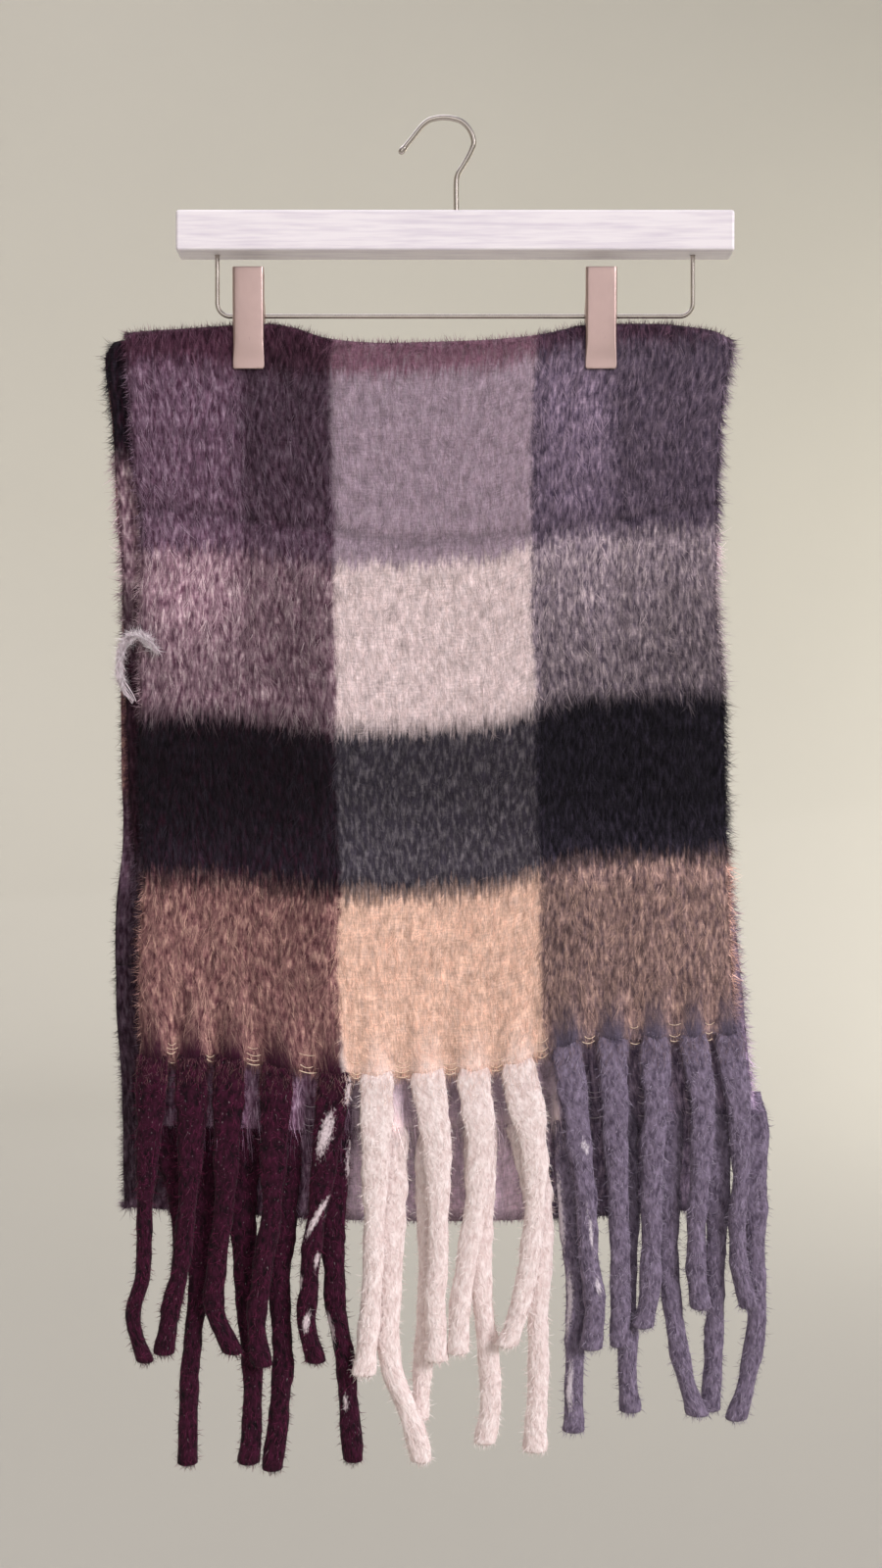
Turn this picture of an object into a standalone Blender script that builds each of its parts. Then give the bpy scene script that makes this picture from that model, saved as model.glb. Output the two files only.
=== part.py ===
"""A brushed check blanket scarf, folded in half, folded again over its quarter line and held by two clips.

Metres, +Z up, front towards -Y. The origin is the inside of the hook's crown, where the hanger hangs.
The tables and sizes are in millimetres. A drop is a distance below the origin, and x runs to the right
as seen from the front. From the front to the back the four layers of cloth are: front, second, third, rear.
The outer leaf is the front and rear layers with the bottom fold, and the inner leaf is the two between them.
"""

import math
from collections import namedtuple

import bmesh
import bpy
from mathutils import Matrix, Vector

MM = 0.001

# Cloth
WALL = 2.0
TIGHT_PITCH = 2.4
LOOSE_PITCH = 3.9
PINCH_SPREAD = 42.0
PINCH_BESIDE = 15.0
PINCH_BELOW = 6.0
SEAM = 0.3
SEAM_DROP = 560.0
HEM_FLARE = 3.6
SECOND_HEM_FLARE = 1.7
FLARE_RUN = 75.0
FLUTE_DEPTH = 1.3
SECOND_FLUTE_DEPTH = 0.8
FLUTE_RUN = 62.0
REAR_BULGE = 2.0
BULGE_TOP = 200.0
BULGE_FOOT = 700.0
BULGE_RUN = 120.0
WAVE_DEPTH = 2.4
WAVE_LENGTH = 262.0
WAVE_SHIFT = 0.12
RIPPLE_DEPTH = 0.9
RIPPLE_LENGTH = 118.0
RIPPLE_SHIFT = 0.4
WAVE_RUN = 300.0
SQUEEZED_SHARES = (0.0, 0.028, 0.058)
FREE_SHARE = 0.1

# Fringe
STRIP_HEIGHT = 4.0
ROOT_DROP = 2.8
STRIP_WALL = 2.2
ROOT_HALF_WIDTH = 10.5
ROOT_HALF_DEPTH = 1.6
STRAND_HALF_DEPTH = 3.6
FRONT_STRAND_Y = -13.4
REAR_STRAND_Y = -4.9
STRAND_RINGS = (0.0, 0.09, 0.2, 0.34, 0.5, 0.68, 0.85, 1.0)
ROUTE_SHARES = (0.0, 0.25, 0.5, 0.7, 0.85, 1.0)
GATHER_SHARE = 0.27
FREE_HANG_SHARE = 0.2
TIP_TURN_START = 0.4
TIP_TURN_SHARE = 0.5
LEAN_REACH = 6.0

# Hanger
BAR_LENGTH = 367.0
BAR_HEIGHT = 27.0
BAR_DEPTH = 22.0
BAR_TOP = 62.6
BAR_X = 4.8
BAR_BEVEL = 1.0
HOOK_WIRE = 3.5
RAIL_WIRE = 3.0
RAIL_HALF_SPAN = 157.4
RAIL_DROP = 130.0
RAIL_CORNER = 8.5
SOCKET_DEPTH = 11.0
CLEAR = 0.3

# Clips
CLIP_X = {"left": -131.3, "right": 101.0}
CLIP_WIDTH = 20.6
CLIP_FOOT = 165.9
CLIP_SHEET = 0.9
EAR_SLIP = 0.2
EAR_INSET = 0.01
SPRING_WIRE = 1.0
SPRING_TURNS = 4
SPRING_STEPS = 8
SPRING_LENGTH = 9.0
SPRING_PLAY = 0.1
SPRING_ARM_TOP = 111.0

Edge = namedtuple("Edge", "drop left right")
Height = namedtuple("Height", "x drop")
Strand = namedtuple("Strand", "root_x quarter_x half_x low_x near_tip_x tip_x tip_drop half_width tip_y")
Leaf = namedtuple("Leaf", "drop stand_off flange")
Finish = namedtuple("Finish", "red green blue roughness metallic")

FRONT_EDGES = (
    Edge(141, -211, 186),
    Edge(160, -212, 186),
    Edge(180, -210, 182),
    Edge(205, -208, 179),
    Edge(232, -206, 178),
    Edge(270, -202, 176.5),
    Edge(320, -203, 176.5),
    Edge(375, -203, 180.5),
    Edge(440, -203.5, 182),
    Edge(507, -200.5, 184),
    Edge(560, -203.5, 186),
    Edge(625, -200, 188),
)
SECOND_EDGES = (
    Edge(141, -211, 184),
    Edge(152, -224, 182),
    Edge(200, -221, 176),
    Edge(310, -215, 173),
    Edge(440, -211, 177),
    Edge(480, -208, 181),
    Edge(515, -205, 187),
    Edge(575, -201, 194),
    Edge(640, -199, 200),
    Edge(670, -198, 206),
)
REAR_EDGES = (
    Edge(141, -211, 186),
    Edge(152, -226, 183),
    Edge(200, -222.5, 177),
    Edge(272, -218.5, 173),
    Edge(310, -216, 172),
    Edge(400, -217, 174),
    Edge(480, -215.5, 176),
    Edge(515, -220, 177),
    Edge(575, -220.5, 178),
    Edge(640, -216.5, 179),
    Edge(730, -214.5, 180),
)
RIDGE = (
    Height(-226, 146),
    Height(-211, 141),
    Height(-178, 138.4),
    Height(-143, 136),
    Height(-118, 135),
    Height(-101, 137.7),
    Height(-82, 144),
    Height(-50, 147.4),
    Height(-5, 146.7),
    Height(28, 145.4),
    Height(54, 142.9),
    Height(73, 139.6),
    Height(88, 136),
    Height(113, 134.9),
    Height(128, 134.9),
    Height(143, 135.2),
    Height(160, 137.1),
    Height(175, 139.5),
    Height(187, 145),
)
FRONT_HEM = (
    Height(-200, 620),
    Height(-150, 620),
    Height(-126, 623),
    Height(-96, 627),
    Height(-61, 631),
    Height(-29, 631),
    Height(1, 629),
    Height(32, 627),
    Height(61, 618),
    Height(88, 609),
    Height(117, 608),
    Height(146, 606.5),
    Height(188, 604.5),
)
SECOND_HEM = (
    Height(-198, 665),
    Height(-110, 667),
    Height(-26, 668),
    Height(32, 665),
    Height(64, 663),
    Height(94, 659.5),
    Height(150, 655),
    Height(206, 654),
)
BOTTOM_FOLD = (
    Height(-215, 721),
    Height(-100, 727),
    Height(0, 730.5),
    Height(100, 727),
    Height(180, 720),
)

FRONT_FRINGE = {
    "plum": (
        Strand(-194, -196, -199, -200.5, -206, -198, 819, 4.3, -13.4),
        Strand(-168, -168, -171, -175.5, -181, -186, 814, 5.3, -13.0),
        Strand(-143, -145, -146, -152, -152, -140, 813, 5.6, -13.4),
        Strand(-112, -113.5, -116, -122, -125.5, -121, 821, 5.6, -13.6),
        Strand(-74, -79.5, -86.5, -90.5, -92, -86, 818, 5.4, -13.4),
    ),
    "cream": (
        Strand(-46.5, -47, -48.5, -49, -52, -55.5, 827, 6.0, -13.4),
        Strand(-13.5, -7, -6.5, -7, -8.5, -7, 819, 6.0, -13.2),
        Strand(17, 21, 17, 11.5, 7.5, 7, 814, 6.0, -13.6),
        Strand(46, 55.5, 57, 53, 47.5, 38, 809, 6.0, -13.4),
    ),
    "slate": (
        Strand(78, 85, 90.5, 92.5, 96.5, 93, 811, 5.8, -13.4),
        Strand(108.5, 109.5, 112, 112.5, 113, 113.5, 809, 5.8, -13.2),
        Strand(136, 135.5, 133, 133, 132, 127, 796, 5.8, -13.6),
        Strand(161, 167, 164.5, 162.5, 162, 164.5, 783, 5.6, -13.4),
        Strand(184, 190, 191.5, 189, 191, 196, 783, 5.0, -13.4),
    ),
}
REAR_FRINGE = {
    "plum": (
        Strand(-187, -180, -176, -177, -180, -184, 795, 4.5, -4.9),
        Strand(-160, -163, -165, -169.5, -171, -172, 889, 5.4, -5.2),
        Strand(-133.5, -135, -133, -129, -128.5, -131.5, 888, 5.6, -5.4),
        Strand(-106.5, -108.5, -111, -108.5, -112, -115.5, 892, 5.8, -5.2),
        Strand(-74, -76, -74, -67, -64.5, -62, 886, 5.6, -5.4),
    ),
    "cream": (
        Strand(-37, -37, -38.5, -37.5, -25, -17.5, 886, 6.2, -10.4),
        Strand(-9, -12, -13.5, -15, -17, -18.5, 861, 5.2, -1.0),
        Strand(21.5, 21.5, 22.5, 26.5, 28.5, 24, 876, 5.8, -5.2),
        Strand(50, 60.5, 60, 59.5, 59, 57.5, 881, 6.0, -5.2),
    ),
    "slate": (
        Strand(79.5, 80.5, 84, 84, 83, 82.5, 868, 5.4, -5.2),
        Strand(114, 118, 118.5, 118.5, 118.5, 120.5, 854, 5.4, -5.2),
        Strand(145, 145, 146, 148.5, 154.5, 164, 854, 5.4, -9.6),
        Strand(175, 177.5, 176, 175.5, 175, 173, 854, 5.4, -1.2),
        Strand(201, 202, 203, 203, 198, 189.5, 859, 5.4, -5.2),
    ),
}
STRIP_GAP = 1.0

HOOK_ROUTE = (
    Height(5.6, 74),
    Height(5.6, 58),
    Height(5.5, 43),
    Height(6.6, 36),
    Height(11, 28.7),
    Height(15.5, 20.3),
    Height(17.1, 13.9),
    Height(14.2, 6.1),
    Height(8.4, 0.6),
    Height(-1.3, -1.7),
    Height(-10.3, -0.6),
    Height(-15.2, 2.1),
    Height(-19.5, 6.7),
    Height(-23, 11.2),
    Height(-27.4, 16.6),
    Height(-29.2, 18.9),
    Height(-30.9, 21.0),
)
TIP_SWELL = (1.0, 1.35, 1.35, 0.8)

CLIP_LEAF = (
    Leaf(99.8, 9.4, 1.6),
    Leaf(103, 9.5, 3.0),
    Leaf(118, 9.1, 3.6),
    Leaf(125.5, 8.8, 11.4),
    Leaf(133.4, 8.3, 11.4),
    Leaf(135.6, 8.1, 2.3),
    Leaf(150, 6.8, 1.3),
    Leaf(160, 5.6, 0.0),
    Leaf(165.9, 5.35, 0.0),
)

FINISHES = {
    "scarf_outer_leaf": Finish(0.246, 0.184, 0.216, 0.95, 0.0),
    "scarf_inner_leaf": Finish(0.130, 0.080, 0.110, 0.95, 0.0),
    "plum": Finish(0.050, 0.013, 0.030, 0.95, 0.0),
    "cream": Finish(0.790, 0.640, 0.590, 0.95, 0.0),
    "slate": Finish(0.165, 0.132, 0.190, 0.95, 0.0),
    "bar": Finish(0.870, 0.850, 0.870, 0.45, 0.0),
    "wire": Finish(0.480, 0.450, 0.420, 0.32, 1.0),
    "clip": Finish(0.600, 0.520, 0.500, 0.35, 1.0),
}


def smoothstep(value):
    value = min(1.0, max(0.0, value))
    return value * value * (3 - 2 * value)


def mix(a, b, share):
    return a + (b - a) * share


def through(rows, at, value, place):
    """The value column of a table at a place, on a smooth curve through the rows."""
    places = [getattr(row, at) for row in rows]
    values = [getattr(row, value) for row in rows]
    return curve_value(places, values, place)


def curve_value(places, values, place):
    """Cubic pieces whose slope at each inner point is that between its two neighbours."""
    if place <= places[0]:
        return values[0]
    if place >= places[-1]:
        return values[-1]
    last = len(places) - 1
    i = max(k for k in range(last) if places[k] <= place)

    def slope(k):
        low, high = max(k - 1, 0), min(k + 1, last)
        return (values[high] - values[low]) / (places[high] - places[low])

    run = places[i + 1] - places[i]
    t = (place - places[i]) / run
    start, end = slope(i) * run, slope(i + 1) * run
    rise = values[i + 1] - values[i]
    return values[i] + start * t + (3 * rise - 2 * start - end) * t**2 + (start + end - 2 * rise) * t**3


def looseness(x, drop):
    """0 where a clip squeezes the four layers and 1 where they hang free."""
    grip = 0.0
    for centre in CLIP_X.values():
        beside = smoothstep((abs(x - centre) - CLIP_WIDTH / 2 - PINCH_BESIDE) / PINCH_SPREAD)
        below = smoothstep((drop - CLIP_FOOT - PINCH_BELOW) / PINCH_SPREAD)
        grip = max(grip, (1 - beside) * (1 - below))
    return 1 - grip


def pitch(x, drop):
    return mix(TIGHT_PITCH, LOOSE_PITCH, looseness(x, drop))


def hang(x, drop):
    """How far the whole bundle lies behind the hook's plane: two soft waves that start below the clips."""
    wave = WAVE_DEPTH * math.sin(math.tau * (x / WAVE_LENGTH + WAVE_SHIFT))
    ripple = RIPPLE_DEPTH * math.sin(math.tau * (x / RIPPLE_LENGTH + RIPPLE_SHIFT))
    return (wave + ripple) * smoothstep((drop - CLIP_FOOT) / WAVE_RUN)


def flute(x, drop, hem_drop, roots):
    """Soft ridges that grow into the strands: 1 over a root, -1 between two roots."""
    near = sorted(roots, key=lambda root: abs(root - x))[:2]
    half = max(abs(near[0] - near[1]) / 2, 1.0)
    ridge = math.cos(math.pi * min(abs(near[0] - x) / half, 1.0))
    return ridge * smoothstep((drop - hem_drop + FLUTE_RUN) / FLUTE_RUN)


def roots_of(fringe):
    return [strand.root_x for group in fringe.values() for strand in group]


def front_y(x, drop):
    hem_drop = through(FRONT_HEM, "x", "drop", x)
    flare = HEM_FLARE * smoothstep((drop - hem_drop + FLARE_RUN) / FLARE_RUN)
    ridges = FLUTE_DEPTH * flute(x, drop, hem_drop, roots_of(FRONT_FRINGE))
    return -1.5 * pitch(x, drop) - flare - ridges + hang(x, drop)


def second_y(x, drop):
    hem_drop = through(SECOND_HEM, "x", "drop", x)
    flare = SECOND_HEM_FLARE * smoothstep((drop - hem_drop + FLARE_RUN) / FLARE_RUN)
    ridges = SECOND_FLUTE_DEPTH * flute(x, drop, hem_drop, roots_of(REAR_FRINGE))
    return -0.5 * pitch(x, drop) - flare - ridges + hang(x, drop)


def third_y(x, drop):
    return 0.5 * pitch(x, drop) + hang(x, drop)


def rear_y(x, drop):
    swell = smoothstep((drop - BULGE_TOP) / BULGE_RUN) * smoothstep((BULGE_FOOT - drop) / BULGE_RUN)
    return 1.5 * pitch(x, drop) + REAR_BULGE * swell + hang(x, drop)


def across(edges, share, drop):
    """The x of a line of the cloth that lies this share of the width from its left edge."""
    return mix(through(edges, "drop", "left", drop), through(edges, "drop", "right", drop), share)


def layer_point(edges, depth, share, drop):
    x = across(edges, share, drop)
    return Vector((x, depth(x, drop), -drop)) * MM


def top_fold_point(edges, share, layers_inside, turn):
    """On the top fold: turn runs from 0 at the front to 1 at the back, round the layers inside."""
    x = across(edges, share, FRONT_EDGES[0].drop)
    ridge = through(RIDGE, "x", "drop", x) + WALL / 2
    gap = pitch(x, ridge)
    radius = gap * (layers_inside + 1) / 2
    centre = ridge + 1.5 * gap
    angle = math.pi * turn
    return Vector((x, -radius * math.cos(angle), -(centre - radius * math.sin(angle)))) * MM


def fold_foot(x):
    """The drop at which the layers leave the top fold."""
    ridge = through(RIDGE, "x", "drop", x) + WALL / 2
    return ridge + 1.5 * pitch(x, ridge)


def bottom_fold_point(share, turn):
    """On the bottom fold: turn runs from 0 on the rear layer to 1 on the third."""
    x = across(REAR_EDGES, share, BOTTOM_FOLD[2].drop)
    lowest = through(BOTTOM_FOLD, "x", "drop", x) - WALL / 2
    rear, third = rear_y(x, lowest), third_y(x, lowest)
    radius = (rear - third) / 2
    angle = math.pi * turn
    y = (rear + third) / 2 + radius * math.cos(angle)
    return Vector((x, y, -(lowest - radius + radius * math.sin(angle)))) * MM


def outer_leaf_point(share, stretch, t):
    top_x = across(FRONT_EDGES, share, FRONT_EDGES[0].drop)
    low_x = across(REAR_EDGES, share, BOTTOM_FOLD[2].drop)
    low = through(BOTTOM_FOLD, "x", "drop", low_x) - WALL / 2 - LOOSE_PITCH / 2
    if stretch == "front":
        hem_x = across(FRONT_EDGES, share, FRONT_EDGES[-1].drop)
        drop = mix(through(FRONT_HEM, "x", "drop", hem_x), fold_foot(top_x), t)
        return layer_point(FRONT_EDGES, front_y, share, drop)
    if stretch == "top":
        return top_fold_point(FRONT_EDGES, share, 2, t)
    if stretch == "rear":
        return layer_point(REAR_EDGES, rear_y, share, mix(fold_foot(top_x), low, t))
    if stretch == "bottom":
        return bottom_fold_point(share, t)
    return layer_point(REAR_EDGES, third_y, share, mix(low, SEAM_DROP + SEAM / 2, t))


def inner_leaf_point(share, stretch, t):
    top_x = across(SECOND_EDGES, share, SECOND_EDGES[0].drop)
    if stretch == "second":
        hem_x = across(SECOND_EDGES, share, SECOND_EDGES[-1].drop)
        drop = mix(through(SECOND_HEM, "x", "drop", hem_x), fold_foot(top_x), t)
        return layer_point(SECOND_EDGES, second_y, share, drop)
    if stretch == "top":
        return top_fold_point(SECOND_EDGES, share, 0, t)
    return layer_point(REAR_EDGES, third_y, share, mix(fold_foot(top_x), SEAM_DROP - SEAM / 2, t))


def steps(stretch, count, first=0):
    """Evenly spaced stations along a stretch, without its first where the stretch before it ends there."""
    return [(stretch, i / count) for i in range(first, count + 1)]


def hanging_steps(stretch, count, first=0):
    """Stations down a hanging layer from its top, closer together where the clips squeeze it."""
    shares = SQUEEZED_SHARES + tuple(mix(FREE_SHARE, 1.0, i / count) for i in range(count + 1))
    return [(stretch, share) for share in shares[first:]]


def rising_steps(stretch, count):
    return [(stretch, 1 - share) for _, share in reversed(hanging_steps(stretch, count))]


def hem_lines(edges, fringe):
    """The x at the hem of the edges, of each strand's root and of the halfway lines between two roots."""
    roots = sorted(roots_of(fringe))
    lines = [edges[-1].left] + roots[:1]
    for before, after in zip(roots, roots[1:]):
        lines += [(before + after) / 2, after]
    return lines + [edges[-1].right]


def columns_of(edges, fringe):
    left, right = edges[-1].left, edges[-1].right
    return [(x - left) / (right - left) for x in hem_lines(edges, fringe)]


def material_of(name, finish):
    material = bpy.data.materials.new(name)
    material.use_nodes = True
    shader = material.node_tree.nodes["Principled BSDF"]
    shader.inputs["Base Color"].default_value = (finish.red, finish.green, finish.blue, 1.0)
    shader.inputs["Roughness"].default_value = finish.roughness
    shader.inputs["Metallic"].default_value = finish.metallic
    return material


def object_of(name, data, finish, parent):
    obj = bpy.data.objects.new(name, data)
    bpy.data.collections["blanket_scarf"].objects.link(obj)
    obj.parent = parent
    data.materials.clear()
    data.materials.append(material_of(name, FINISHES[finish]))
    return obj


def helper_of(name, mesh):
    """A hidden mesh that a Boolean joins to a part or cuts from it."""
    obj = bpy.data.objects.new(name, mesh)
    bpy.data.collections["helpers"].objects.link(obj)
    obj.hide_render = True
    obj.display_type = "WIRE"
    return obj


def mesh_from(bm, name):
    bmesh.ops.recalc_face_normals(bm, faces=bm.faces)
    mesh = bpy.data.meshes.new(name)
    bm.to_mesh(mesh)
    bm.free()
    return mesh


def cloth_sheet(name, columns, rows, place):
    """A grid whose points a function places, ready for its wall."""
    bm = bmesh.new()
    wide, long = len(columns) - 1, len(rows) - 1
    bmesh.ops.create_grid(bm, x_segments=wide, y_segments=long, size=1)
    for vert in bm.verts:
        column = columns[round((vert.co.x + 1) / 2 * wide)]
        row = rows[round((vert.co.y + 1) / 2 * long)]
        vert.co = place(column, *row)
    mesh = mesh_from(bm, name)
    mesh.shade_smooth()
    return mesh


def add_wall(obj, wall):
    solidify = obj.modifiers.new("wall", "SOLIDIFY")
    solidify.thickness = wall * MM
    solidify.offset = 0.0


def add_boolean(obj, other, operation):
    boolean = obj.modifiers.new(other.name, "BOOLEAN")
    boolean.operation = operation
    boolean.solver = "EXACT"
    boolean.object = other


def build_leaf(name, parent):
    if name == "scarf_outer_leaf":
        rows = rising_steps("front", 10) + steps("top", 6, 1) + hanging_steps("rear", 8, 1)
        rows += steps("bottom", 4, 1) + steps("third", 4, 1)
        columns, place = columns_of(FRONT_EDGES, FRONT_FRINGE), outer_leaf_point
    else:
        rows = rising_steps("second", 8) + steps("top", 4, 1) + hanging_steps("third", 6, 1)
        columns, place = columns_of(SECOND_EDGES, REAR_FRINGE), inner_leaf_point
    add_wall(object_of(name, cloth_sheet(name, columns, rows, place), name, parent), WALL)


def strip_mesh(name, hem, depth, lines):
    """The narrow band that a group of strands grows from, parted from the cloth's hem."""

    def place(x, _, t):
        hem_drop = through(hem, "x", "drop", x)
        return Vector((x, depth(x, hem_drop), -(hem_drop + SEAM + STRIP_HEIGHT * t))) * MM

    return cloth_sheet(name, lines, steps("strip", 1), place)


def strand_ring(strand, hem, depth, middle_y, share):
    """Centre, half width, half depth and tilt of a strand at a share of its length."""
    x = curve_value(ROUTE_SHARES, strand[:len(ROUTE_SHARES)], share)
    hem_drop = through(hem, "x", "drop", strand.root_x)
    top = hem_drop + SEAM + ROOT_DROP
    drop = mix(top, strand.tip_drop, share)
    gathered = smoothstep(share / GATHER_SHARE)
    half_width = mix(ROOT_HALF_WIDTH, strand.half_width, gathered)
    half_depth = mix(ROOT_HALF_DEPTH, STRAND_HALF_DEPTH, gathered)
    root_y = depth(strand.root_x, hem_drop) - hang(strand.root_x, hem_drop)
    low_y = mix(middle_y, strand.tip_y, smoothstep((share - TIP_TURN_START) / TIP_TURN_SHARE))
    y = mix(root_y, low_y, smoothstep(share / FREE_HANG_SHARE)) + hang(x, drop)
    before, after = [through(hem, "x", "drop", strand.root_x + side * LEAN_REACH) for side in (-1, 1)]
    tilt = (after - before) / (2 * LEAN_REACH) * (1 - gathered)
    return x, y, drop, half_width, half_depth, tilt


def strand_mesh(strand, hem, depth, middle_y):
    """A four-sided strand: a box cut along its length and drawn along its route."""
    bm = bmesh.new()
    bmesh.ops.create_cube(bm, size=1.0)
    upright = [edge for edge in bm.edges if abs(edge.verts[0].co.z - edge.verts[1].co.z) > 0.5]
    bmesh.ops.subdivide_edges(bm, edges=upright, cuts=len(STRAND_RINGS) - 2)
    for vert in bm.verts:
        share = STRAND_RINGS[round((0.5 - vert.co.z) * (len(STRAND_RINGS) - 1))]
        x, y, drop, half_width, half_depth, tilt = strand_ring(strand, hem, depth, middle_y, share)
        side = 2 * vert.co.x * half_width
        vert.co = Vector((x + side, y + 2 * vert.co.y * half_depth, -(drop + side * tilt))) * MM
    return mesh_from(bm, "strand")


def build_fringe(row_name, fringe, hem, edges, depth, middle_y, parent):
    lines = hem_lines(edges, fringe)
    for colour, strands in fringe.items():
        name = f"fringe_{row_name}_{colour}"
        first, last = lines.index(strands[0].root_x) - 1, lines.index(strands[-1].root_x) + 1
        ends = lines[first] + STRIP_GAP / 2, lines[last] - STRIP_GAP / 2
        strip = strip_mesh(name, hem, depth, [ends[0], *lines[first + 1:last], ends[1]])
        obj = object_of(name, strip, colour, parent)
        add_wall(obj, STRIP_WALL)
        bm = bmesh.new()
        for strand in strands:
            bm.from_mesh(strand_mesh(strand, hem, depth, middle_y))
        add_boolean(obj, helper_of(f"{name}_strands", mesh_from(bm, f"{name}_strands")), "UNION")


def cylinder_mesh(name, radius, length, centre, axis):
    """A cutter along the x or z axis."""
    bm = bmesh.new()
    round_end = radius * MM
    bmesh.ops.create_cone(
        bm, cap_ends=True, segments=16, radius1=round_end, radius2=round_end, depth=length * MM
    )
    if axis == "x":
        bmesh.ops.rotate(bm, verts=bm.verts, cent=(0, 0, 0), matrix=Matrix.Rotation(math.pi / 2, 3, "Y"))
    bmesh.ops.translate(bm, verts=bm.verts, vec=Vector(centre) * MM)
    return mesh_from(bm, name)


def build_bar(parent):
    bm = bmesh.new()
    bmesh.ops.create_cube(bm, size=1.0)
    bmesh.ops.scale(bm, verts=bm.verts, vec=Vector((BAR_LENGTH, BAR_DEPTH, BAR_HEIGHT)) * MM)
    bmesh.ops.translate(bm, verts=bm.verts, vec=Vector((BAR_X, 0, -BAR_TOP - BAR_HEIGHT / 2)) * MM)
    bar = object_of("hanger_bar", mesh_from(bm, "hanger_bar"), "bar", parent)
    bevel = bar.modifiers.new("eased_edges", "BEVEL")
    bevel.width = BAR_BEVEL * MM
    bevel.segments = 2
    foot = BAR_TOP + BAR_HEIGHT
    sockets = {
        "hook_socket": (HOOK_WIRE, HOOK_ROUTE[0].x, BAR_TOP),
        "rail_socket_left": (RAIL_WIRE, BAR_X - RAIL_HALF_SPAN, foot),
        "rail_socket_right": (RAIL_WIRE, BAR_X + RAIL_HALF_SPAN, foot),
    }
    for name, (wire, x, drop) in sockets.items():
        mesh = cylinder_mesh(name, wire / 2 + CLEAR, 2 * (SOCKET_DEPTH + 1), (x, 0, -drop), "z")
        add_boolean(bar, helper_of(name, mesh), "DIFFERENCE")


def build_wire(name, points, wire, roundness, parent, swell=()):
    """A round wire on a chain of points, the last of which may be swollen to a blunt tip."""
    curve = bpy.data.curves.new(name, "CURVE")
    curve.dimensions = "3D"
    curve.bevel_depth = wire / 2 * MM
    curve.bevel_resolution = roundness
    curve.use_fill_caps = True
    spline = curve.splines.new("POLY")
    spline.points.add(len(points) - 1)
    for point, place in zip(spline.points, points):
        point.co = (*(Vector(place) * MM), 1.0)
    for point, radius in zip(spline.points[len(points) - len(swell):], swell):
        point.radius = radius
    object_of(name, curve, "wire", parent)


def build_hook(parent):
    """The stem, the swan neck and the crown, read from a smooth curve, with a rolled tip."""
    count = len(HOOK_ROUTE)
    numbers = list(range(count))
    fine = [i / 2 for i in range(2 * count - 1)]
    points = [
        (
            curve_value(numbers, [spot.x for spot in HOOK_ROUTE], n),
            0,
            -curve_value(numbers, [spot.drop for spot in HOOK_ROUTE], n),
        )
        for n in fine
    ]
    build_wire("hanger_hook", points, HOOK_WIRE, 2, parent, TIP_SWELL)


def build_rail(parent):
    """The bent wire under the bar: two legs in their sockets, two corners and the clips' run."""
    foot = BAR_TOP + BAR_HEIGHT
    points = []
    for side in (-1, 1):
        leg = [(BAR_X + side * RAIL_HALF_SPAN, 0, -(foot - SOCKET_DEPTH + 1))]
        for i in range(7):
            angle = math.pi / 2 * i / 6
            x = RAIL_HALF_SPAN - RAIL_CORNER * (1 - math.cos(angle))
            drop = RAIL_DROP - RAIL_CORNER * (1 - math.sin(angle))
            leg.append((BAR_X + side * x, 0, -drop))
        points += leg if side < 0 else leg[::-1]
    build_wire("hanger_rail", points, RAIL_WIRE, 2, parent)


def plate_mesh(name, outline, thickness, x):
    """A flat outline of (y, drop) points made a plate across x."""
    curve = bpy.data.curves.new(name, "CURVE")
    curve.dimensions = "2D"
    curve.fill_mode = "BOTH"
    curve.extrude = thickness / 2 * MM
    spline = curve.splines.new("POLY")
    spline.points.add(len(outline) - 1)
    for point, (y, drop) in zip(spline.points, outline):
        point.co = (y * MM, -drop * MM, 0, 1)
    spline.use_cyclic_u = True
    flat = bpy.data.objects.new(name, curve)
    bpy.data.collections["helpers"].objects.link(flat)
    graph = bpy.context.evaluated_depsgraph_get()
    mesh = bpy.data.meshes.new_from_object(flat.evaluated_get(graph))
    bpy.data.objects.remove(flat)
    bm = bmesh.new()
    bm.from_mesh(mesh)
    bmesh.ops.remove_doubles(bm, verts=bm.verts, dist=1e-6)
    stand = Matrix(((0, 0, 1, x * MM), (1, 0, 0, 0), (0, 1, 0, 0), (0, 0, 0, 1)))
    bmesh.ops.transform(bm, matrix=stand, verts=bm.verts)
    return mesh_from(bm, name)


def build_clip_leaf(name, centre, side, half_width, parent):
    """A stamped leaf: a plate with two flanges, which deepen into ears bored for the rail."""
    plate = [(side * row.stand_off + side * CLIP_SHEET / 2, row.drop) for row in CLIP_LEAF]
    inside = [(side * row.stand_off - side * CLIP_SHEET / 2, row.drop) for row in reversed(CLIP_LEAF)]
    leaf = object_of(name, plate_mesh(name, plate + inside, 2 * half_width, centre), "clip", parent)
    rows = [row for row in CLIP_LEAF if row.flange]
    back = [(side * row.stand_off, row.drop + EAR_SLIP) for row in rows]
    lip = [(side * (row.stand_off - row.flange), row.drop + EAR_SLIP) for row in reversed(rows)]
    for end in (-1, 1):
        x = centre + end * (half_width - CLIP_SHEET / 2 - EAR_INSET)
        mesh = plate_mesh(f"{name}_ear", back + lip, CLIP_SHEET, x)
        add_boolean(leaf, helper_of(mesh.name, mesh), "UNION")
    bore = cylinder_mesh(f"{name}_bore", RAIL_WIRE / 2 + CLEAR, 2 * CLIP_WIDTH, (centre, 0, -RAIL_DROP), "x")
    add_boolean(leaf, helper_of(bore.name, bore), "DIFFERENCE")


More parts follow.
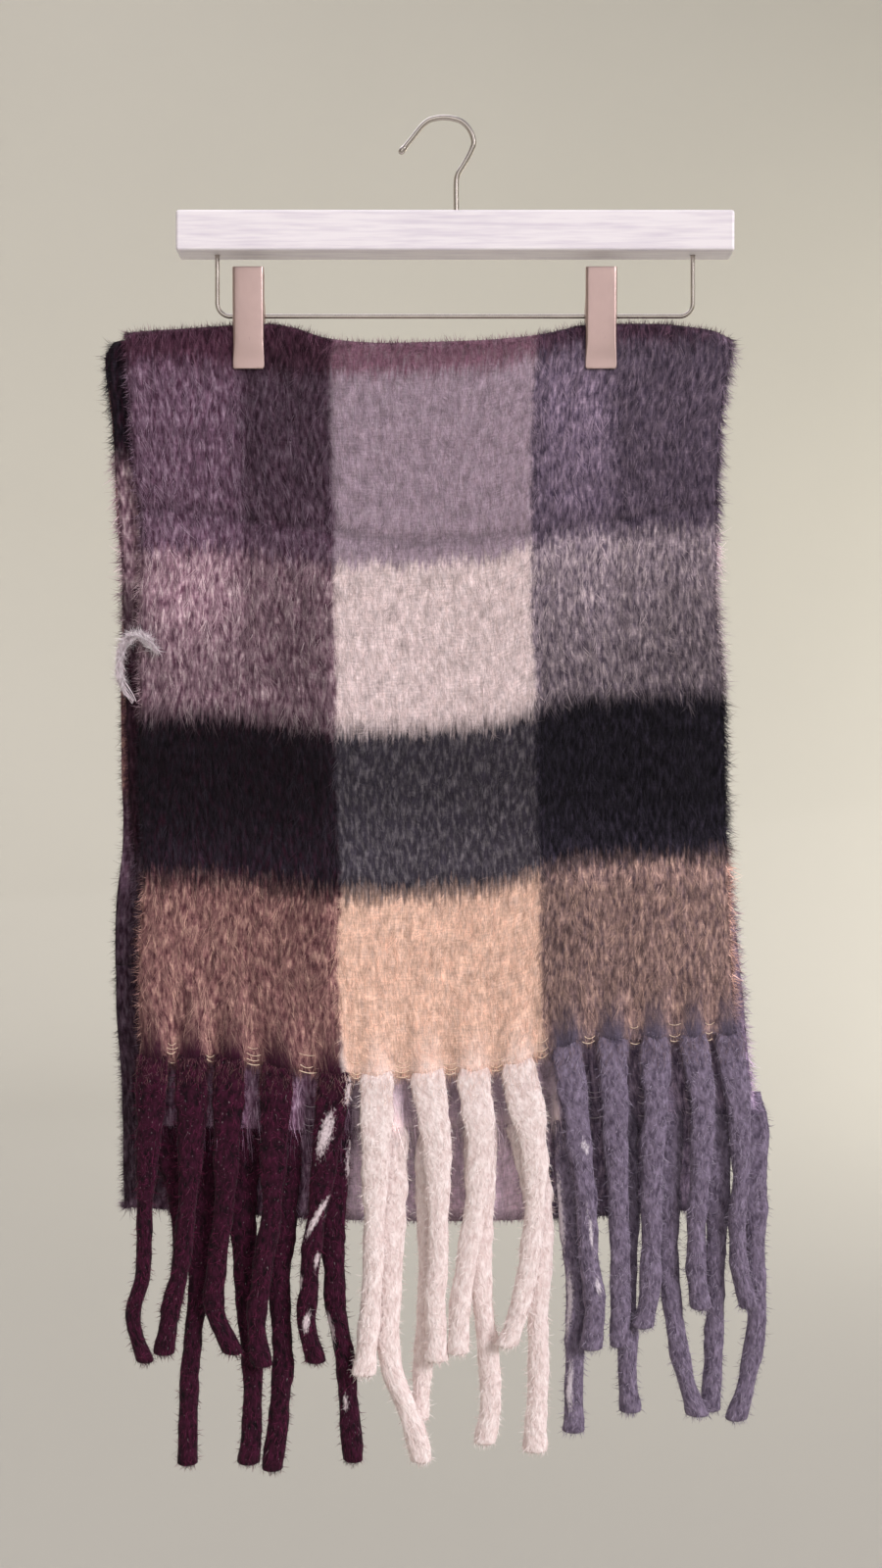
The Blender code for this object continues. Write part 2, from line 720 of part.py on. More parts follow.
def build_spring(name, centre, parent):
    """The coil round the rail, with an arm up the inside of each leaf."""
    radius = RAIL_WIRE / 2 + CLEAR + SPRING_WIRE / 2 + SPRING_PLAY
    count = round((SPRING_TURNS + 0.5) * SPRING_STEPS)
    points = []
    for i in range(count + 1):
        angle = math.tau * i / SPRING_STEPS
        x = centre + SPRING_LENGTH * (i / count - 0.5)
        points.append((x, -radius * math.cos(angle), -(RAIL_DROP + radius * math.sin(angle))))
    stand_off = through(CLIP_LEAF, "drop", "stand_off", SPRING_ARM_TOP)
    reach = stand_off - CLIP_SHEET / 2 - SPRING_WIRE / 2 - CLEAR
    first, last = points[0][0], points[-1][0]
    points.insert(0, (first, -reach, -SPRING_ARM_TOP))
    points.append((last, reach, -SPRING_ARM_TOP))
    build_wire(name, points, SPRING_WIRE, 0, parent)


def build_clips(parent):
    outer = CLIP_WIDTH / 2
    inner = outer - CLIP_SHEET - CLEAR
    for side_name, centre in CLIP_X.items():
        build_clip_leaf(f"clip_{side_name}_front", centre, -1, outer, parent)
        build_clip_leaf(f"clip_{side_name}_back", centre, 1, inner, parent)
        build_spring(f"clip_{side_name}_spring", centre, parent)


def main():
    for obj in list(bpy.data.objects):
        bpy.data.objects.remove(obj)
    for name in ("blanket_scarf", "helpers"):
        bpy.context.scene.collection.children.link(bpy.data.collections.new(name))
    root = bpy.data.objects.new("hook_crown", None)
    bpy.data.collections["blanket_scarf"].objects.link(root)
    build_leaf("scarf_outer_leaf", root)
    build_leaf("scarf_inner_leaf", root)
    build_fringe("front", FRONT_FRINGE, FRONT_HEM, FRONT_EDGES, front_y, FRONT_STRAND_Y, root)
    build_fringe("rear", REAR_FRINGE, SECOND_HEM, SECOND_EDGES, second_y, REAR_STRAND_Y, root)
    build_bar(root)
    build_hook(root)
    build_rail(root)
    build_clips(root)


main()
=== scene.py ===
"""The looks of a brushed check blanket scarf that two clips hold on a hanger.

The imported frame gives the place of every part. Sizes and places in the tables are in millimetres, as in the
part's source: x runs to the right as seen from the front, y to the back, and a drop is a distance below the
inside of the hook's crown. Cloth, yarn and fibres are grids of points in those millimetres, and each grid
becomes a mesh in metres.
"""

import math
from collections import namedtuple

import bmesh
import bpy
import numpy as np
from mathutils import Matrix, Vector, noise


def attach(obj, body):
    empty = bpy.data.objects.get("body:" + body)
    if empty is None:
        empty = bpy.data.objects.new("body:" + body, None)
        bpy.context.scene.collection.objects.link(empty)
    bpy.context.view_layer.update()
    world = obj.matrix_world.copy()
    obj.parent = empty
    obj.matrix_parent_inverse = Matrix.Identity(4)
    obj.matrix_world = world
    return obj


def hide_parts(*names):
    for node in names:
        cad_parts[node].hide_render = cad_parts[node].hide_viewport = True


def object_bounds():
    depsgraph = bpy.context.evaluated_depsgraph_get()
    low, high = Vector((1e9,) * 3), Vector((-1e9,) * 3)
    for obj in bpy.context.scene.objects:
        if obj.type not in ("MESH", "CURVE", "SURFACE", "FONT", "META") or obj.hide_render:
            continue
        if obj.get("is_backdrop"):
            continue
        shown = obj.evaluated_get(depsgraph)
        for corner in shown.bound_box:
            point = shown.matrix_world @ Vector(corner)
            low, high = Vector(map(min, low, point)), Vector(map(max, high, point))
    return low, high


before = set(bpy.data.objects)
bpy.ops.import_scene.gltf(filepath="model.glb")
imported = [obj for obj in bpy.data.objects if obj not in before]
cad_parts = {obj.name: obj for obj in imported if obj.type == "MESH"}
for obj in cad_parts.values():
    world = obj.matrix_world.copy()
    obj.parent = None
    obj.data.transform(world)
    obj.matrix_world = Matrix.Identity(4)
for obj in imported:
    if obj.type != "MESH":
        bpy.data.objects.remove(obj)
CAD_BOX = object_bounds()

MM = 0.001

# Cloth, as in the part's source
WALL = 2.0
TIGHT_PITCH = 2.4
LOOSE_PITCH = 3.9
PINCH_SPREAD = 42.0
PINCH_BESIDE = 15.0
PINCH_BELOW = 6.0
SEAM = 0.3
SEAM_DROP = 560.0
HEM_FLARE = 3.6
SECOND_HEM_FLARE = 1.7
FLARE_RUN = 75.0
FLUTE_DEPTH = 2.0
FLUTE_RUN = 62.0
REAR_BULGE = 2.0
WAVE_DEPTH = 2.4
WAVE_LENGTH = 262.0
RIPPLE_DEPTH = 0.9
RIPPLE_LENGTH = 118.0
CUT_WIDTH = 390.0
CUT_LENGTH = 2172.0

# Fringe
ROOT_DROP = 2.8
ROOT_HALF_WIDTH = {"plum": 10.8, "cream": 11.2, "slate": 9.6}
GATHER_SHARE = 0.56
BRUSHED_OUT = 1.17
ROOT_HALF_DEPTH = 2.1
ROOT_SINK = 3.4
ROOT_RUN = 14.0
STRAND_HALF_DEPTH = 3.9
FRONT_STRAND_Y = -13.4
REAR_STRAND_Y = -4.9

# Hanger
BAR_LENGTH = 367.0
BAR_HEIGHT = 27.0
BAR_DEPTH = 22.0
BAR_TOP = 62.6
BAR_X = 4.8
HOOK_WIRE = 3.5
RAIL_WIRE = 3.0
RAIL_HALF_SPAN = 157.4
RAIL_DROP = 130.0
RAIL_CORNER = 8.5
SOCKET_DEPTH = 11.0
CLIP_X = {"left": -131.3, "right": 101.0}
CLIP_WIDTH = 20.6
CLIP_FOOT = 165.9
CLIP_SHEET = 0.9
SPRING_WIRE = 1.0
SPRING_TURNS = 4
SPRING_LENGTH = 9.0
SPRING_ARM_TOP = 111.0

# The view: the photograph is 900 by 1600 and one of its pixels is this many millimetres at the cloth
PHOTO_HEIGHT_PX = 1600
PIXEL = 0.645
CAMERA_X = -4.5
CAMERA_DROP = 439.6
CLOTH_Y = -7.0
CAMERA_DISTANCE = 1150.0

Edge = namedtuple("Edge", "drop left right")
Height = namedtuple("Height", "x drop")
Strand = namedtuple("Strand", "root_x quarter_x half_x low_x near_tip_x tip_x tip_drop half_width tip_y")
Leaf = namedtuple("Leaf", "drop stand_off flange")
Block = namedtuple("Block", "yarn end")
Crease = namedtuple("Crease", "half_width depth shade path")
Patch = namedtuple("Patch", "left right top foot soft fade tone rise", defaults=(20,))
Pale = namedtuple("Pale", "middle half_run side half_side slant")
Pile = namedtuple("Pile", "shortest longest stray")
Surface = namedtuple("Surface", "points uv tone bare")
Hairs = namedtuple("Hairs", "row column roots heading spread length width bend level")


def listed(kind, *rows):
    """A table of rows that are all of one kind."""
    return tuple(kind(*row) for row in rows)


FRONT_EDGES = listed(
    Edge, (141, -211, 186), (160, -212, 186), (180, -210, 182), (205, -208, 179), (232, -206, 178),
    (270, -202, 176.5), (320, -203, 176.5), (375, -203, 180.5), (440, -203.5, 182), (507, -200.5, 184),
    (560, -203.5, 186), (625, -200, 188),
)
SECOND_EDGES = listed(
    Edge, (141, -211, 184), (152, -224, 182), (200, -221, 176), (310, -215, 173), (440, -211, 177),
    (480, -208, 181), (515, -205, 187), (575, -201, 194), (640, -199, 200), (670, -198, 206),
)
REAR_EDGES = listed(
    Edge, (141, -211, 186), (152, -226, 183), (200, -222.5, 177), (272, -218.5, 173), (310, -216, 172),
    (400, -217, 174), (480, -215.5, 176), (515, -220, 177), (575, -220.5, 178), (640, -216.5, 179),
    (730, -214.5, 180),
)
RIDGE = listed(
    Height, (-226, 146), (-211, 141), (-178, 138.4), (-143, 136), (-118, 135), (-101, 137.7), (-82, 144),
    (-50, 147.4), (-5, 146.7), (28, 145.4), (54, 142.9), (73, 139.6), (88, 136), (113, 134.9),
    (128, 134.9), (143, 135.2), (160, 137.1), (175, 139.5), (187, 145),
)
FRONT_HEM = listed(
    Height, (-200, 620), (-150, 620), (-126, 623), (-96, 627), (-61, 631), (-29, 631), (1, 629),
    (32, 627), (61, 618), (88, 609), (117, 608), (146, 606.5), (188, 604.5),
)
SECOND_HEM = listed(
    Height, (-198, 665), (-110, 667), (-26, 668), (32, 665), (64, 663), (94, 659.5), (150, 655),
    (206, 654),
)
BOTTOM_FOLD = listed(Height, (-215, 721), (-100, 727), (0, 730.5), (100, 727), (180, 720))

FRONT_FRINGE = {
    "plum": listed(
        Strand, (-194, -196, -199, -200.5, -206, -198, 819, 4.3, -13.4),
        (-168, -168, -171, -175.5, -181, -186, 814, 5.3, -13.0),
        (-143, -145, -146, -152, -152, -140, 813, 5.6, -13.4),
        (-112, -113.5, -116, -122, -125.5, -121, 821, 5.6, -13.6),
        (-74, -79.5, -86.5, -90.5, -92, -86, 818, 5.4, -13.4),
    ),
    "cream": listed(
        Strand, (-46.5, -47, -48.5, -49, -52, -55.5, 827, 6.0, -13.4),
        (-13.5, -7, -6.5, -7, -8.5, -7, 819, 6.0, -13.2), (17, 21, 17, 11.5, 7.5, 7, 814, 6.0, -13.6),
        (46, 55.5, 57, 53, 47.5, 38, 809, 6.0, -13.4),
    ),
    "slate": listed(
        Strand, (78, 85, 90.5, 92.5, 96.5, 93, 811, 5.8, -13.4),
        (108.5, 109.5, 112, 112.5, 113, 113.5, 809, 5.8, -13.2),
        (136, 135.5, 133, 133, 132, 127, 796, 5.8, -13.6),
        (161, 167, 164.5, 162.5, 162, 164.5, 783, 5.6, -13.4),
        (184, 190, 191.5, 189, 191, 196, 783, 5.0, -13.4),
    ),
}
REAR_FRINGE = {
    "plum": listed(
        Strand, (-187, -180, -176, -177, -180, -184, 795, 4.5, -4.9),
        (-160, -163, -165, -169.5, -171, -172, 889, 5.4, -5.2),
        (-133.5, -135, -133, -129, -128.5, -131.5, 888, 5.6, -5.4),
        (-106.5, -108.5, -111, -108.5, -112, -115.5, 892, 5.8, -5.2),
        (-74, -76, -74, -67, -64.5, -62, 886, 5.6, -5.4),
    ),
    "cream": listed(
        Strand, (-37, -37, -38.5, -37.5, -25, -17.5, 886, 6.2, -10.4),
        (-9, -12, -13.5, -15, -17, -18.5, 861, 5.2, -1.0),
        (21.5, 21.5, 22.5, 26.5, 28.5, 24, 876, 5.8, -5.2),
        (50, 60.5, 60, 59.5, 59, 57.5, 881, 6.0, -5.2),
    ),
    "slate": listed(
        Strand, (79.5, 80.5, 84, 84, 83, 82.5, 868, 5.4, -5.2),
        (114, 118, 118.5, 118.5, 118.5, 120.5, 854, 5.4, -5.2),
        (145, 145, 146, 148.5, 154.5, 164, 854, 5.4, -9.6),
        (175, 177.5, 176, 175.5, 175, 173, 854, 5.4, -1.2),
        (201, 202, 203, 203, 198, 189.5, 859, 5.4, -5.2),
    ),
}

HOOK_ROUTE = listed(
    Height, (5.6, 74), (5.6, 58), (5.5, 43), (6.6, 36), (11, 28.7), (15.5, 20.3), (17.1, 13.9),
    (14.2, 6.1), (8.4, 0.6), (-1.3, -1.7), (-10.3, -0.6), (-15.2, 2.1), (-19.5, 6.7), (-23, 11.2),
    (-27.4, 16.6), (-29.2, 18.9), (-30.9, 21.0),
)

CLIP_LEAF = listed(
    Leaf, (99.8, 9.4, 1.6), (103, 9.5, 3.0), (118, 9.1, 3.6), (125.5, 8.8, 11.4), (133.4, 8.3, 11.4),
    (135.6, 8.1, 2.3), (150, 6.8, 1.3), (160, 5.6, 0.0), (165.9, 5.35, 0.0),
)

# The check: weft blocks by where each ends, along the cloth from its first hem, and warp stripes by where
# each ends, across it from its left edge
WEFT_BLOCKS = listed(
    Block, ("camel", 117), ("black", 228), ("cream", 336), ("lilac", 461), ("maroon", 507),
    ("black", 574), ("cream", 700), ("maroon", 829), ("black", 945), ("lilac", 1330), ("camel", 1600),
    ("black", 1732), ("cream", 1860), ("maroon", 1990), ("lilac", CUT_LENGTH),
)
WARP_STRIPES = listed(Block, ("plum", 131.5), ("cream", 265), ("slate", CUT_WIDTH))
WEFT_YARN = {
    "camel": "#eac3af",
    "black": "#302c35",
    "cream": "#dfcdce",
    "lilac": "#9d8b9a",
    "maroon": "#785667",
}
# What each warp does to the weft that lies brushed over it
WARP_TINT = {"plum": "#a995a3", "cream": "#fffdfb", "slate": "#aba8b3"}
WARP_YARN = {"plum": "#431c30", "cream": "#f2e2de", "slate": "#6f6579"}

# The warp's own fibres in the pile, felted with the weft's
WARP_FLECK = {"plum": "#4c1a32", "cream": "#a39c9f", "slate": "#665c72"}

# Creases pressed into the front and the back, with painted shade along each, and patches of painted light and
# shade: the nap's lay as a painted sheen, painted shade at the left margin and painted light between the
# strands
FRONT_CREASES = listed(
    Crease,
    (5.5, 1.5, 0.66, ((-203, 257), (-150, 261), (-82, 272), (-20, 281), (60, 273), (118, 264), (180, 255))),
    (10, 1.1, 0.90, ((-134, 172), (-135, 240), (-132, 300), (-136, 350))),
    (9, 1.0, 0.92, ((112, 172), (113, 230), (110, 300), (114, 360))),
    (11, 0.9, 0.94, ((-112, 170), (-96, 210), (-84, 262))),
    (10, 0.8, 0.94, ((84, 172), (72, 214), (66, 250))),
    (9, 0.7, 0.96, ((-190, 410), (-120, 402), (-60, 408))),
    (12, 0.8, 0.97, ((20, 500), (90, 488), (170, 492))),
    (8, 0.8, 0.95, ((-199, 330), (-188, 380), (-192, 440))),
)
REAR_CREASES = listed(
    Crease, (8, 1.3, 0.82, ((-214, 300), (-120, 309), (-20, 314), (80, 306), (170, 298))),
    (11, 1.1, 0.92, ((-132, 176), (-136, 250), (-130, 330))),
    (10, 1.0, 0.92, ((104, 176), (108, 240), (102, 318))),
    (9, 0.8, 0.95, ((-60, 180), (-48, 260), (-56, 350))),
    (12, 0.9, 0.95, ((-205, 520), (-90, 530), (40, 522))),
    (10, 0.7, 0.96, ((30, 640), (110, 632), (176, 640))),
)
# Front: the nap's lay beside the clips as painted sheen and shade, painted light below the long crease, and
# painted light and shade across the blocks
FRONT_PATCHES = listed(
    Patch, (-218, -138, 150, 300, 10, 80, 1.24), (-140, -70, 134, 400, 9, 200, 0.56),
    (58, 108, 150, 300, 10, 90, 1.5), (108, 195, 134, 420, 10, 210, 0.78),
    (-202, -140, 275, 400, 22, 60, 1.28), (70, 150, 280, 390, 30, 60, 1.12),
    (-206, -72, 261, 302, 12, 24, 1.28, 10), (54, 190, 268, 300, 12, 22, 1.22, 10),
    (-206, -122, 284, 350, 18, 34, 1.2, 20), (-124, -73, 300, 420, 16, 40, 0.8),
    (60, 110, 300, 380, 16, 40, 1.1), (122, 190, 300, 400, 20, 40, 0.9),
    (-206, -148, 500, 600, 20, 40, 1.1), (-112, -73, 500, 600, 14, 40, 0.84),
    (54, 96, 490, 640, 10, 40, 0.86), (118, 178, 500, 560, 20, 40, 1.1),
    (-215, -70, 300, 386, 14, 14, 0.76, 74), (52, 195, 280, 380, 14, 14, 0.6, 90),
    (-215, -73, 376, 500, 10, 60, 0.62), (54, 195, 366, 500, 10, 60, 0.56),
    (-215, 195, 440, 506, 14, 12, 1.45, 60), (-73, 54, 430, 516, 12, 10, 1.15, 60),
    (-215, -73, 494, 660, 10, 30, 0.84), (54, 195, 490, 660, 10, 30, 0.86),
)
# Second layer: painted shade at the left margin, painted light between the strands and on the right flare
SECOND_PATCHES = listed(
    Patch, (-240, -197, 300, 640, 4, 40, 0.4), (-240, -180, 600, 800, 12, 60, 0.42),
    (-188, -66, 596, 800, 10, 60, 2.1), (-66, 66, 596, 800, 10, 60, 1.5),
    (66, 240, 596, 800, 10, 60, 1.8), (182, 240, 440, 800, 8, 60, 1.5),
)
# Third layer: painted shade at the left margin and painted light on its foot between the strands
THIRD_PATCHES = listed(Patch, (-250, -186, 500, 800, 10, 60, 0.4), (-190, 240, 640, 800, 12, 60, 2.0))
# Rear: painted shade right of the clips, low on the left and at the left margin, and painted light in the
# middle
REAR_PATCHES = listed(
    Patch, (-135, -74, 140, 360, 8, 120, 0.78), (112, 190, 140, 380, 8, 120, 0.82),
    (-60, 60, 330, 520, 30, 90, 1.12), (-240, -140, 560, 800, 60, 60, 0.6),
    (-250, -203, 300, 800, 5, 60, 0.5),
)
VALLEY_X = (-134.0, 111.0)
VALLEY_SPREAD = 60.0
VALLEY_DEPTH = 2.2
VALLEY_TOP = 150.0
VALLEY_RISE = 60.0
VALLEY_MIDDLE = 230.0
VALLEY_FOOT = 380.0

# Pale ends that run through some of the strands: middle and half run as shares of the length, and the side
# it shows on, as an angle from the front towards the left, with its half width
PALE_ENDS = {
    ("front", "plum", 4): listed(
        Pale, (0.04, 0.06, -1.2, 0.4, 0.0), (0.19, 0.10, 0.2, 0.55, 0.3), (0.48, 0.09, 0.0, 0.45, 1.0),
        (0.63, 0.035, -0.7, 0.4, 0.0), (0.71, 0.03, 1.1, 0.5, 0.0), (0.85, 0.05, 0.0, 0.5, 0.3),
    ),
    ("rear", "plum", 4): listed(
        Pale, (0.07, 0.09, -1.2, 0.35, 0.0), (0.58, 0.06, 1.0, 0.5, -0.2), (0.81, 0.03, 0.3, 0.35, 0.0),
    ),
    ("front", "plum", 0): listed(Pale, (0.72, 0.03, 1.3, 0.3, 0.0)),
    ("front", "slate", 0): listed(
        Pale, (0.32, 0.04, -0.5, 0.3, -0.3), (0.60, 0.10, -0.3, 0.22, -0.3), (0.78, 0.04, -0.5, 0.3, 0.0),
    ),
    ("rear", "slate", 0): listed(
        Pale, (0.28, 0.16, 1.1, 0.6, 0.0), (0.58, 0.14, 0.8, 0.5, 0.2), (0.84, 0.10, 0.5, 0.5, 0.0),
    ),
}


def smoothstep(value):
    value = min(1.0, max(0.0, value))
    return value * value * (3 - 2 * value)


def soft(values):
    """The same curve for an array."""
    values = np.clip(values, 0.0, 1.0)
    return values * values * (3 - 2 * values)


def mix(a, b, share):
    return a + (b - a) * share


def through(rows, at, value, place):
    """The value column of a table at a place, on a smooth curve through the rows."""
    places = [getattr(row, at) for row in rows]
    values = [getattr(row, value) for row in rows]
    return curve_value(places, values, place)


def curve_value(places, values, place):
    """Cubic pieces whose slope at each inner point is that between its two neighbours."""
    if place <= places[0]:
        return values[0]
    if place >= places[-1]:
        return values[-1]
    last = len(places) - 1
    i = max(k for k in range(last) if places[k] <= place)

    def slope(k):
        low, high = max(k - 1, 0), min(k + 1, last)
        return (values[high] - values[low]) / (places[high] - places[low])

    run = places[i + 1] - places[i]
    t = (place - places[i]) / run
    start, end = slope(i) * run, slope(i + 1) * run
    rise = values[i + 1] - values[i]
    return values[i] + start * t + (3 * rise - 2 * start - end) * t**2 + (start + end - 2 * rise) * t**3


def looseness(x, drop):
    """0 where a clip squeezes the four layers and 1 where they hang free."""
    grip = 0.0
    for centre in CLIP_X.values():
        beside = smoothstep((abs(x - centre) - CLIP_WIDTH / 2 - PINCH_BESIDE) / PINCH_SPREAD)
        below = smoothstep((drop - CLIP_FOOT - PINCH_BELOW) / PINCH_SPREAD)
        grip = max(grip, (1 - beside) * (1 - below))
    return 1 - grip


def pitch(x, drop):
    return mix(TIGHT_PITCH, LOOSE_PITCH, looseness(x, drop))


def hang(x, drop):
    """How far the whole bundle lies behind the hook's plane: two soft waves that start below the clips."""
    wave = WAVE_DEPTH * math.sin(math.tau * (x / WAVE_LENGTH + 0.12))
    ripple = RIPPLE_DEPTH * math.sin(math.tau * (x / RIPPLE_LENGTH + 0.4))
    return (wave + ripple) * smoothstep((drop - CLIP_FOOT) / 300)


def flute(x, drop, hem_drop, roots):
    """Soft ridges that grow into the strands: 1 over a root, -1 between two roots."""
    near = sorted(roots, key=lambda root: abs(root - x))[:2]
    half = max(abs(near[0] - near[1]) / 2, 1.0)
    ridge = math.cos(math.pi * min(abs(near[0] - x) / half, 1.0))
    return ridge * smoothstep((drop - hem_drop + FLUTE_RUN) / FLUTE_RUN)


def roots_of(fringe):
    return [strand.root_x for group in fringe.values() for strand in group]


def hemmed_y(x, drop, layer, hem, fringe, flare_depth, flute_depth):
    """A layer that ends in a hem: it flares there, with a ridge over each root. layer counts in pitches."""
    hem_drop = through(hem, "x", "drop", x)
    flare = flare_depth * smoothstep((drop - hem_drop + FLARE_RUN) / FLARE_RUN)
    ridges = flute_depth * flute(x, drop, hem_drop, roots_of(fringe))
    return layer * pitch(x, drop) - flare - ridges + hang(x, drop)


def front_y(x, drop):
    return hemmed_y(x, drop, -1.5, FRONT_HEM, FRONT_FRINGE, HEM_FLARE, FLUTE_DEPTH)


def second_y(x, drop):
    return hemmed_y(x, drop, -0.5, SECOND_HEM, REAR_FRINGE, SECOND_HEM_FLARE, 0.6 * FLUTE_DEPTH)


def third_y(x, drop):
    return 0.5 * pitch(x, drop) + hang(x, drop)


def rear_y(x, drop):
    bulge = REAR_BULGE * smoothstep((drop - 200) / 120) * smoothstep((700 - drop) / 120)
    return 1.5 * pitch(x, drop) + bulge + hang(x, drop)


def across(edges, share, drop):
    """The x of a line of the cloth that lies this share of the width from its left edge."""
    return mix(through(edges, "drop", "left", drop), through(edges, "drop", "right", drop), share)


def layer_point(edges, depth, share, drop):
    x = across(edges, share, drop)
    return x, depth(x, drop), -drop


def top_fold_point(edges, share, layers_inside, turn):
    """On the top fold: turn runs from 0 at the front to 1 at the back, round the layers inside."""
    x = across(edges, share, FRONT_EDGES[0].drop)
    ridge = through(RIDGE, "x", "drop", x) + WALL / 2
    gap = pitch(x, ridge)
    radius = gap * (layers_inside + 1) / 2
    centre = ridge + 1.5 * gap
    angle = math.pi * turn
    return x, -radius * math.cos(angle), -(centre - radius * math.sin(angle))


def fold_foot(x):
    """The drop at which the layers leave the top fold."""
    ridge = through(RIDGE, "x", "drop", x) + WALL / 2
    return ridge + 1.5 * pitch(x, ridge)


def bottom_fold_point(share, turn):
    """On the bottom fold: turn runs from 0 on the rear layer to 1 on the third."""
    x = across(REAR_EDGES, share, BOTTOM_FOLD[2].drop)
    lowest = through(BOTTOM_FOLD, "x", "drop", x) - WALL / 2
    rear, third = rear_y(x, lowest), third_y(x, lowest)
    radius = (rear - third) / 2
    angle = math.pi * turn
    y = (rear + third) / 2 + radius * math.cos(angle)
    return x, y, -(lowest - radius + radius * math.sin(angle))


def outer_leaf_point(share, stretch, t):
    top_x = across(FRONT_EDGES, share, FRONT_EDGES[0].drop)
    low_x = across(REAR_EDGES, share, BOTTOM_FOLD[2].drop)
    low = through(BOTTOM_FOLD, "x", "drop", low_x) - WALL / 2 - LOOSE_PITCH / 2
    if stretch == "front":
        hem_x = across(FRONT_EDGES, share, FRONT_EDGES[-1].drop)
        drop = mix(through(FRONT_HEM, "x", "drop", hem_x), fold_foot(top_x), t)
        return layer_point(FRONT_EDGES, front_y, share, drop)
    if stretch == "top":
        return top_fold_point(FRONT_EDGES, share, 2, t)
    if stretch == "rear":
        return layer_point(REAR_EDGES, rear_y, share, mix(fold_foot(top_x), low, t))
    if stretch == "bottom":
        return bottom_fold_point(share, t)
    return layer_point(REAR_EDGES, third_y, share, mix(low, SEAM_DROP + SEAM / 2, t))


def inner_leaf_point(share, stretch, t):
    top_x = across(SECOND_EDGES, share, SECOND_EDGES[0].drop)
    if stretch == "second":
        hem_x = across(SECOND_EDGES, share, SECOND_EDGES[-1].drop)
        drop = mix(through(SECOND_HEM, "x", "drop", hem_x), fold_foot(top_x), t)
        return layer_point(SECOND_EDGES, second_y, share, drop)
    if stretch == "top":
        return top_fold_point(SECOND_EDGES, share, 0, t)
    return layer_point(REAR_EDGES, third_y, share, mix(fold_foot(top_x), SEAM_DROP - SEAM / 2, t))


# Fine grids of the two leaves: rows along the cloth and columns across it

LEAF_COLUMNS = 105
TUFT_FIBRES = 4
TUFT_HALF_WIDTH = 0.28
NAP_WIDTH = 0.23
# How fast the nap's drift, clumps and broad patches change across and down the cloth, per millimetre
DRIFT_RATE = (0.021, 0.014)
CLUMP_RATE = (0.48, 0.17)
BROAD_RATE = (0.09, 0.04)
STRIPE_BLEED = 2.5
# The pile's shortest and longest, and how far a tuft strays from the brushing, for each stripe
PILE = {"plum": Pile(5.0, 15.0, 0.30), "cream": Pile(2.5, 8.0, 0.60), "slate": Pile(4.0, 12.0, 0.34)}
OUTER_ROWS = (("front", 112), ("top", 14), ("rear", 128), ("bottom", 8), ("third", 30))
INNER_ROWS = (("second", 108), ("top", 8), ("third", 70))
SELVEDGE_WANDER = 0.9
RIM_REACH = (3, 9)
RIM_WIDTH = 0.27
RIM_STRAY = 0.3
# Painted rim light: edge fibres drawn lighter, most on the right edge where the key light catches them
RIM_PAINTED_LIGHT = 1.25
RIM_PAINTED_LIGHT_RIGHT = 1.9
RIB_BARE_RUN = 36.0
HEM_BARE_RUN = 14.0
# Painted light and shade over the ribs near each hem: how much lighter or darker each stripe's nap is drawn
# over a rib than beside it, lighter where the second layer's ribs stand forward into the light, and on the
# front darker over plum and slate where their warp shows
FRONT_RIB_SHADE = {"plum": -0.3, "cream": 0.12, "slate": -0.25}
SECOND_RIB_SHADE = {"plum": 0.35, "cream": 0.1, "slate": 0.3}
# How much of the warp shows bare over a rib
FRONT_RIB_BARE = {"plum": 0.85, "cream": 0.35, "slate": 0.85}
SECOND_RIB_BARE = {"plum": 0.1, "cream": 0.6, "slate": 0.25}


def stations(rows):
    """The stretches' stations in order, where a stretch starts with the last station of the one before."""
    found = [(rows[0][0], 0.0)]
    for stretch, count in rows:
        found += [(stretch, (i + 1) / count) for i in range(count)]
    return found


def crease_fall(crease, x, drop):
    """1 on the crease's line and 0 beyond its half width, for arrays of x and drop."""
    nearest = np.full(x.shape, 1e9)
    for (ax, ad), (bx, bd) in zip(crease.path, crease.path[1:]):
        run_x, run_d = bx - ax, bd - ad
        t = np.clip(((x - ax) * run_x + (drop - ad) * run_d) / (run_x**2 + run_d**2), 0, 1)
        nearest = np.minimum(nearest, np.hypot(x - ax - run_x * t, drop - ad - run_d * t))
    return soft(1 - nearest / crease.half_width)


def press(points, tone, creases, patches, outward):
    """Presses the creases into a layer's rows, paints shade along each, and paints each patch's light and
    shade into the layer's painted shading.
    """
    x, drop = points[..., 0], -points[..., 2]
    for crease in creases:
        fall = crease_fall(crease, x, drop)
        points[..., 1] -= outward * crease.depth * fall
        # painted shade along the crease
        tone *= mix(1.0, crease.shade, fall)
    for patch in patches:
        inside = soft((x - patch.left) / patch.soft) * soft((patch.right - x) / patch.soft)
        inside *= soft((drop - patch.top) / patch.rise) * soft((patch.foot - drop) / patch.fade)
        # painted light and shade of the patch
        tone *= mix(1.0, patch.tone, inside)


def valleys(points, reach):
    """The cloth stands forward away from the clips, in two valleys that fade downwards."""
    x, drop = points[..., 0], -points[..., 2]
    beside = np.minimum(*[np.abs(x - valley) for valley in VALLEY_X])
    rise = soft((drop - VALLEY_TOP) / VALLEY_RISE)
    fade = rise * (1 - soft((drop - VALLEY_MIDDLE) / (VALLEY_FOOT - VALLEY_MIDDLE)))
    points[..., 1] -= reach * VALLEY_DEPTH * soft(beside / VALLEY_SPREAD) * fade


def by_stripe(values, across_mm):
    """Each warp stripe's value, at places across the cloth."""
    stripe = np.searchsorted([block.end for block in WARP_STRIPES[:-1]], across_mm)
    return np.array([values[block.yarn] for block in WARP_STRIPES])[stripe]


